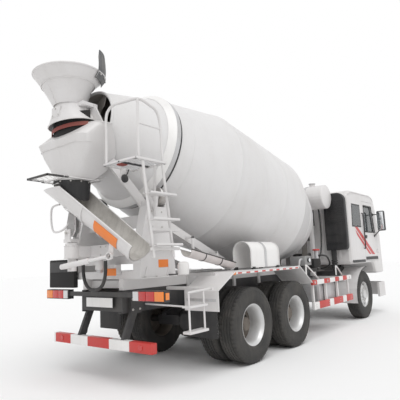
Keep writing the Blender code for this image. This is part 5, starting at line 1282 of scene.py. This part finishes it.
# %% Fit the tail lamps
lamps = Piece("tail_lamp_lenses")
for side in (1, -1):
    for inner_y, outer_y, what in ((0.680, 0.775, LAMP_CLEAR), (0.782, 0.900, LAMP_RED),
                                   (0.907, 1.045, LAMP_RED), (1.052, 1.197, LAMP_ORANGE)):
        low, high = pair(side, inner_y, outer_y)
        lamps.box((-3.762, low, 1.055), (-3.748, high, 1.165), what, 0.005)
        for k in range(5):
            z = 1.068 + k * 0.021
            lamps.bar((-3.7625, low + 0.008, z), (-3.7625, high - 0.008, z), 0.003, 0.004, what, 0.001)
    low, high = pair(side, 1.2072, 1.213)
    lamps.box((-3.735, low, 1.07), (-3.675, high, 1.15), LAMP_ORANGE, 0.003)
lamps.box((-3.7385, -0.27, 0.955), (-3.730, 0.27, 1.075), WHITE, 0.002)
lamps.box((-3.7360, -0.28, 0.945), (-3.7285, 0.28, 1.085), PLASTIC, 0.002)
for y in (-0.20, 0.20):
    lamps.box((-3.733, y - 0.012, 1.06), (-3.7005, y + 0.012, 1.10), PLASTIC, 0.002)
lamps.done("chassis", "black_plastic")

# %% [markdown]
# ## Tanks and boxes along the sides
# Between the wheels hang the fuel tank, the batteries and air tanks, and the water system's valves.
# Straps, caps, ribs and pipes are what turn a plain box into one of these.

# %% Dress the side equipment
paint(GALVANISED, "fuel_tank")
tank = Piece("fuel_tank_fittings")
for x in (0.82, 1.42):
    tank.box((x - 0.028, -1.146, 0.594), (x + 0.028, -1.138, 0.961), CHASSIS, 0.003)
    tank.box((x - 0.028, -1.14, 0.953), (x + 0.028, -0.56, 0.961), CHASSIS, 0.003)
    tank.bolt((x, -1.146, 0.66), (0, -1, 0), 0.010)
tank.rod((1.12, -0.98, 0.955), (1.12, -0.98, 0.99), 0.05, PLASTIC, 24)
tank.rod((1.12, -0.98, 0.985), (1.12, -0.98, 1.005), 0.058, PLASTIC, 12)
tank.done("chassis", "bare_steel")

# %% Dress the battery box and air tanks
battery = Piece("battery_box_fittings")
for k in range(6):
    battery.box((0.80 + 0.12 * k, 1.138, 0.64), (0.84 + 0.12 * k, 1.146, 0.92), CHASSIS, 0.003)
battery.box((0.70, 0.58, 0.950), (1.54, 1.145, 0.975), GREY_BOX, 0.008)
for x in (0.28, 0.50):
    battery.turned([(0, -0.23), (0.06, -0.225), (0.105, -0.19), (0.115, -0.15), (0.115, 0.15),
                    (0.105, 0.19), (0.06, 0.225), (0, 0.23)],
                   (x, 0.80, 0.80), (0, 1, 0), CHASSIS, 36)
    battery.turned([(0.1152, -0.015), (0.119, -0.012), (0.119, 0.012), (0.1152, 0.015)], (x, 0.80, 0.80),
                   (0, 1, 0), GALVANISED, 36)
battery.done("chassis", "black_paint")

# %% [markdown]
# The water system's valves, a tool box and two short hand rails stand above the right side guard,
# and a rounded cover lies over the rear fender.

# %% Build the cover and the valves
cover = Piece("fender_cover")


def cover_row(x, grow=0.0):
    turns = half_circle(18)
    low = [(-1.165 - grow, 1.36)]
    arc = [(-1.005 - (0.16 + grow) * math.cos(a), 1.60 + (0.165 + grow) * math.sin(a)) for a in turns]
    return [Vector((x, y, z)) for y, z in low + arc + [(-0.845 + grow, 1.36)]]


cover.skin([cover_row(x) for x in (-1.80, -1.55, -1.3, -1.1, -0.93)], WHITE, 0.006)
for x in (-1.79, -0.94):
    cover.skin([cover_row(x - 0.014, 0.006), cover_row(x + 0.014, 0.006)], BODY, 0.004)
cover.skin([cover_row(-1.395, 0.007), cover_row(-1.335, 0.007)], GALVANISED, 0.003)
for x in (-1.74, -1.0):
    for y in (-1.165, -0.845):
        cover.box((x - 0.035, y - 0.02, 1.3305), (x + 0.035, y + 0.02, 1.375), RUBBER, 0.004)
cover.done("chassis", "body_paint")


# %% Build the valves
valves = Piece("water_valves")
valves.box((0.34, -1.02, 1.32), (0.62, -0.70, 1.50), GREY_BOX, 0.010)
valves.box((0.70, -1.04, 1.26), (1.02, -0.66, 1.44), DARK_AND_SHADE, 0.012)
valves.rod((1.14, -0.90, 1.24), (1.14, -0.90, 1.60), 0.045, GALVANISED, 24)
valves.turned([(0, 0), (0.075, 0.004), (0.078, 0.02), (0.070, 0.032), (0, 0.036)], (1.14, -0.90, 1.60),
              (0, 0, 1), RED, 28)
valves.pipe([(0.34, -0.95, 1.44), (0.24, -0.96, 1.42), (0.20, -0.94, 1.30), (0.20, -0.80, 1.22),
             (0.22, -0.50, 1.20)], 0.020, GALVANISED, 12)
valves.pipe([(1.14, -0.94, 1.50), (1.20, -1.02, 1.50), (1.36, -1.04, 1.46), (1.50, -1.02, 1.30),
             (1.60, -0.80, 1.22), (1.66, -0.50, 1.20)], 0.018, HOSE, 12)
valves.rod((0.48, -1.02, 1.42), (0.48, -1.05, 1.42), 0.045, CHASSIS, 28)
valves.rod((0.48, -1.046, 1.42), (0.48, -1.053, 1.42), 0.038, MIRROR, 28)
valves.box((0.30, -0.98, 1.18), (1.30, -0.48, 1.20), CHASSIS, 0.004)
for x in (0.36, 0.84, 1.24):
    valves.box((x - 0.02, -0.50, 1.02), (x + 0.02, -0.47, 1.19), CHASSIS, 0.003)
valves.box((0.72, -0.96, 1.20), (1.00, -0.72, 1.26), CHASSIS, 0.003)
valves.box((0.36, -0.96, 1.20), (0.60, -0.74, 1.32), CHASSIS, 0.003)
valves.rod((1.14, -0.90, 1.19), (1.14, -0.90, 1.25), 0.06, CHASSIS, 20)
for (x0, z0), (x1, z1) in (((0.10, 1.32), (0.62, 1.06)), ((1.50, 1.26), (1.84, 1.06))):
    valves.pipe([(x0 - 0.02, -1.15, z0 - 0.18), (x0 - 0.015, -1.15, z0 - 0.04), (x0 + 0.03, -1.15, z0),
                 (x1 - 0.06, -1.15, z1 + 0.02), (x1, -1.15, z1 - 0.03)],
                0.014, WHITE, 12)
valves.done("chassis", "bare_steel")


# %% [markdown]
# The water tank lies across the frame behind the cab, with domed ends and two straps.

# %% Dress the water tank
WATER_TANK = (1.88, 0, 2.80)
water = Piece("water_tank_fittings")
for side in (1, -1):
    water.turned([(0.268, 0.90), (0.262, 0.914), (0.20, 0.945), (0.10, 0.962), (0, 0.967)], WATER_TANK,
                 (0, side, 0), BODY, 64)
    for y in (0.50, 0.30):
        water.turned([(0.270, y - 0.03), (0.275, y - 0.028), (0.275, y + 0.028), (0.270, y + 0.03)],
                     WATER_TANK, (0, side, 0), GALVANISED, 64)
water.turned([(0.270, -0.008), (0.276, -0.003), (0.276, 0.003), (0.270, 0.008)], WATER_TANK, (0, 1, 0),
             BODY, 64)
water.rod((1.88, -0.60, 3.06), (1.88, -0.60, 3.12), 0.06, BODY, 24)
water.turned([(0, 0), (0.075, 0), (0.075, 0.02), (0, 0.026)], (1.88, -0.60, 3.118), (0, 0, 1), GALVANISED,
             24)
water.pipe([(1.88, -0.70, 2.55), (1.88, -0.72, 2.40), (1.84, -0.74, 1.90), (1.70, -0.74, 1.50),
            (1.30, -0.72, 1.34)], 0.018, HOSE, 12)
water.done("chassis", "body_paint")

# %% [markdown]
# ## The air duct behind the cab
# A moulded black panel with a rounded outer corner draws clean air from high up. Its inlet is a
# stack of louvres.

# %% Build the air duct
duct = Piece("air_duct_panel")
corner = [(-1.02 - 0.18 * math.sin(math.radians(a)),
           2.72 + 0.18 * math.cos(math.radians(a))) for a in range(0, 91, 9)]
duct.prism([(-0.70, 2.90)] + corner + [(-1.20, 1.68), (-1.18, 1.62), (-1.14, 1.60), (-0.70, 1.60)], 2.17,
           2.28, PLASTIC, "YZ", 0.014)
for k in range(11):
    z = 2.20 + k * 0.052
    duct.bar((2.166, -1.13, z), (2.166, -0.78, z), 0.012, 0.024, PLASTIC, 0.003)
for y in (-1.145, -0.765):
    duct.box((2.160, y - 0.012, 2.17), (2.172, y + 0.012, 2.76), PLASTIC, 0.003)
for z in (1.75, 1.95):
    duct.box((2.163, -1.15, z), (2.172, -0.76, z + 0.02), PLASTIC, 0.003)
duct.box((2.18, -0.90, 1.07), (2.25, -0.80, 1.62), PLASTIC, 0.010)
duct.box((2.175, -0.88, 1.05), (2.25, -0.4203, 1.14), PLASTIC, 0.006)
for k in range(4):
    duct.turned([(0.062, 0.0), (0.070, 0.012), (0.070, 0.020), (0.062, 0.032)],
                (2.215, -0.85, 1.20 + 0.05 * k), (0, 0, 1), RUBBER, 24)
duct.done("chassis", "black_plastic", "cab_air_duct")

# %% [markdown]
# ## The cab
# The cab's hollow shell comes from the frame. Here it gains what is fixed to it: rain gutters, a
# grille, lamps, wipers, grab rails, stripes and the rear wall's pressed ribs.

# %% Dress the cab
paint(BODY, "cab_shell", "left_door", "right_door", "bumper")
paint(GLASS, "windscreen")
paint(PLASTIC, "dashboard", "left_mirror", "right_mirror")
cab = Piece("cab_fittings")
for side in (1, -1):
    y = side * 1.232
    cab.pipe([(2.36, y, 2.86), (2.55, y, 2.925), (3.2, y, 2.93), (3.92, y, 2.92), (4.10, y, 2.80)], 0.010,
             BODY, 8, 3)
    low, high = pair(side, 1.2302, 1.2325)
    cab.prism([(2.62, 2.235), (3.202, 1.893), (3.202, 1.770), (2.66, 2.10)], low, high, STRIPE, edge=0)
    cab.prism([(2.66, 2.055), (3.202, 1.735), (3.202, 1.655), (2.74, 1.93)], low, high, STRIPE, edge=0)
    cab.pipe([(3.17, y, 1.62), (3.165, side * 1.262, 1.66), (3.165, side * 1.264, 2.05),
              (3.165, side * 1.262, 2.42), (3.17, y, 2.46)],
             0.013, PLASTIC, 12)
    cab.prism([(2.46, 2.12), (3.06, 2.12), (3.06, 2.66), (2.52, 2.66)], *pair(side, 1.228, 1.2335), PLASTIC,
              edge=0.001)
    cab.prism([(2.49, 2.15), (3.03, 2.15), (3.03, 2.63), (2.545, 2.63)], *pair(side, 1.2335, 1.2350), GLASS,
              edge=0)
    low, high = pair(side, 1.228, 1.236)
    cab.box((2.34, low, 1.30), (3.16, high, 1.36), PLASTIC, 0.003)
    low, high = pair(side, 0.62, 0.98)
    cab.box((4.515, low, 1.06), (4.545, high, 1.20), LAMP_CLEAR, 0.010)
    low, high = pair(side, 0.99, 1.12)
    cab.box((4.505, low, 1.06), (4.535, high, 1.20), LAMP_ORANGE, 0.008)
    cab.bar((4.51, side * 0.10, 1.925), (4.38, side * 0.55, 2.36), 0.014, 0.010, PLASTIC)
    cab.bar((4.465, side * 0.30, 2.10), (4.36, side * 0.72, 2.42), 0.018, 0.022, RUBBER)
    cab.pipe([(4.46, side * 1.06, 1.55), (4.55, side * 1.10, 1.60), (4.55, side * 1.10, 1.85),
              (4.46, side * 1.06, 1.90)], 0.012, PLASTIC, 10)
for k in range(7):
    z = 1.27 + k * 0.075
    cab.box((4.508, -0.80, z), (4.528, 0.80, z + 0.040), PLASTIC if k % 2 else GALVANISED, 0.006)
# The near-black sheet behind the grille's bars is painted shade in its openings.
cab.box((4.503, -0.84, 1.24), (4.514, 0.84, 1.82), DARK_AND_SHADE, 0.004)
cab.prism([(4.20, 2.83), (4.45, 2.80), (4.47, 2.70), (4.44, 2.69), (4.26, 2.79)], -0.96, 0.96, PLASTIC,
          edge=0.006)
for y in (-0.85, -0.30, 0.30, 0.85):
    cab.turned([(0, 0), (0.045, 0), (0.042, 0.020), (0.025, 0.032), (0, 0.035)], (4.05, y, 2.975),
               (0, 0, 1), LAMP_ORANGE, 24)
cab.box((3.05, -0.35, 2.978), (3.75, 0.35, 3.005), BODY, 0.012)
for y in (-0.95, -0.55, -0.15, 0.25, 0.65, 1.0):
    cab.box((2.288, y - 0.03, 1.42), (2.302, y + 0.03, 2.72), BODY, 0.006)
cab.box((2.285, -0.40, 2.20), (2.300, 0.40, 2.62), RUBBER, 0.006)
cab.box((2.280, -0.36, 2.24), (2.287, 0.36, 2.58), GLASS, 0.003)
cab.done("cab", "body_paint")


# %% [markdown]
# Each door carries its glass, a rubber seal, the stripe's other half, its handle and its mirror's glass.

# %% Dress the doors
WINDOW_MIDDLE = Vector((3.65, 2.34))
for side, hand in HANDS:
    door = Piece(f"{hand}_door_fittings")
    outside = side * 1.230
    window = [(3.32, 2.02), (4.05, 2.02), (3.91, 2.66), (3.32, 2.66)]
    pane = [tuple(Vector((x, z)).lerp(WINDOW_MIDDLE, -0.012)) for x, z in window]
    door.prism(pane, *pair(side, 1.198, 1.204), GLASS, edge=0)
    for (x0, z0), (x1, z1) in zip(window, window[1:] + window[:1]):
        door.bar((x0, side * 1.2305, z0), (x1, side * 1.2305, z1), 0.008, 0.030, RUBBER, 0.003)
    low, high = pair(side, 1.2302, 1.2325)
    door.prism([(3.214, 1.886), (3.92, 1.470), (3.72, 1.470), (3.214, 1.763)], low, high, STRIPE, edge=0)
    door.prism([(3.214, 1.728), (3.64, 1.478), (3.50, 1.478), (3.214, 1.648)], low, high, STRIPE, edge=0)
    low, high = pair(side, 1.229, 1.240)
    door.box((3.27, low, 1.86), (3.41, high, 1.94), PLASTIC, 0.004)
    door.pipe([(3.285, side * 1.240, 1.915), (3.30, side * 1.256, 1.915), (3.38, side * 1.256, 1.915),
               (3.395, side * 1.240, 1.915)], 0.009, PLASTIC, 10)
    outline = [(3.225, 1.345), (4.122, 1.345), (4.122, 1.42), (3.225, 1.42)]
    door.prism(outline, *pair(side, 1.2295, 1.235), PLASTIC, edge=0.002)
    low, high = pair(side, 1.164, 1.172)
    door.box((3.30, low, 1.42), (4.04, high, 1.96), GREY_BOX, 0.004)
    low, high = pair(side, 1.350, 1.506)
    door.box((3.936, low, 2.075), (3.9485, high, 2.525), MIRROR, 0.003)
    door.done(f"{hand}_door", "body_paint")

# %% [markdown]
# ## The bumper
# The front bumper is a heavy pressing with lamp recesses, a step and a blank plate.

# %% Dress the bumper
bumper = Piece("bumper_fittings")
for side in (1, -1):
    low, high = pair(side, 0.78, 1.02)
    bumper.box((4.600, low, 0.52), (4.645, high, 0.68), LAMP_CLEAR, 0.012)
    bumper.box((4.595, low - 0.015, 0.505), (4.632, high + 0.015, 0.695), PLASTIC, 0.008)
bumper.box((4.640, -0.60, 0.47), (4.656, 0.60, 0.55), PLASTIC, 0.006)
bumper.box((4.648, -0.26, 0.60), (4.658, 0.26, 0.71), WHITE, 0.003)
# The two near-black discs on the bumper's face are painted shade in round openings.
for y in (-0.45, 0.45):
    bumper.rod((4.64, y, 0.64), (4.66, y, 0.64), 0.028, DARK_AND_SHADE, 20)
bumper.done("chassis", "black_plastic")

# %% [markdown]
# ## The seats
# Each seat has a crowned cushion and back over foam, sewn with two channels. A closed form is drawn
# whose sides pull in between its corners, and the channels are pressed into it.

# %% Shape a pad
def pad_shape(name, middle, size, tilt, channels):
    """A crowned pad: size is its length, width and thickness in its own frame."""
    shape = bmesh.new()
    bmesh.ops.create_cube(shape, size=2)
    bmesh.ops.subdivide_edges(shape, edges=shape.edges[:], cuts=15, use_grid_fill=True)
    for v in shape.verts:
        x, y, z = v.co
        fullness = (1 - abs(x) ** 3.5) * (1 - abs(y) ** 3.5)
        pulled = 1 - 0.05 * abs(z) ** 2
        sunk = sum(math.exp(-(((x if along else y) - c) / 0.055) ** 2) for c, along in channels)
        v.co.x = x * size[0] / 2 * pulled
        v.co.y = y * size[1] / 2 * (pulled - 0.03 * (1 - x * x))
        crown = 0.62 + 0.38 * max(fullness, 0) ** 0.5
        v.co.z = z * size[2] / 2 * crown - (0.010 * sunk if z > 0.9 else 0)
    turn = Matrix.Rotation(tilt, 4, "Y")
    shape.transform(Matrix.Translation(middle) @ turn)
    pad = Piece(name)
    pad.take(shape, CLOTH)
    return pad


print("pads are drawn in a frame of their own")

# %% Make the seats
FLOOR = 1.3103
for name, y in (("driver_seat", 0.66), ("passenger_seat", -0.66)):
    cushion = pad_shape(name + "_cushion", (3.25, y, FLOOR + 0.375), (0.54, 0.345, 0.15), 0.0,
                        ((-0.3, False), (0.3, False)))
    cushion_piece = cushion.done("cab", "seat_cloth", name, angle=70)
    back = pad_shape(name + "_back", (2.965, y, FLOOR + 0.76), (0.13, 0.365, 0.68), math.radians(-14.0), ())
    back_piece = back.done("cab", "seat_cloth", angle=70)
    base = Piece(name + "_base")
    base.box((3.03, y - 0.14, FLOOR), (3.41, y + 0.14, FLOOR + 0.05), PLASTIC, 0.008)
    for k in range(5):
        base.box((3.05 + 0.004 * k, y - 0.13, FLOOR + 0.05 + 0.04 * k),
                 (3.39 - 0.004 * k, y + 0.13, FLOOR + 0.085 + 0.04 * k), RUBBER, 0.012)
    base.box((3.02, y - 0.15, FLOOR + 0.25), (3.44, y + 0.15, FLOOR + 0.30), PLASTIC, 0.008)
    base.done("cab", "black_plastic")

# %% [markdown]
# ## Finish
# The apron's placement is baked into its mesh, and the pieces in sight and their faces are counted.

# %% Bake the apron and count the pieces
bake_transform(skirt_piece)
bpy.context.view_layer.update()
shown = [item for item in bpy.context.scene.objects if item.type == "MESH" and not item.hide_render]
print("pieces", len(shown), "faces", sum(len(item.data.polygons) for item in shown))
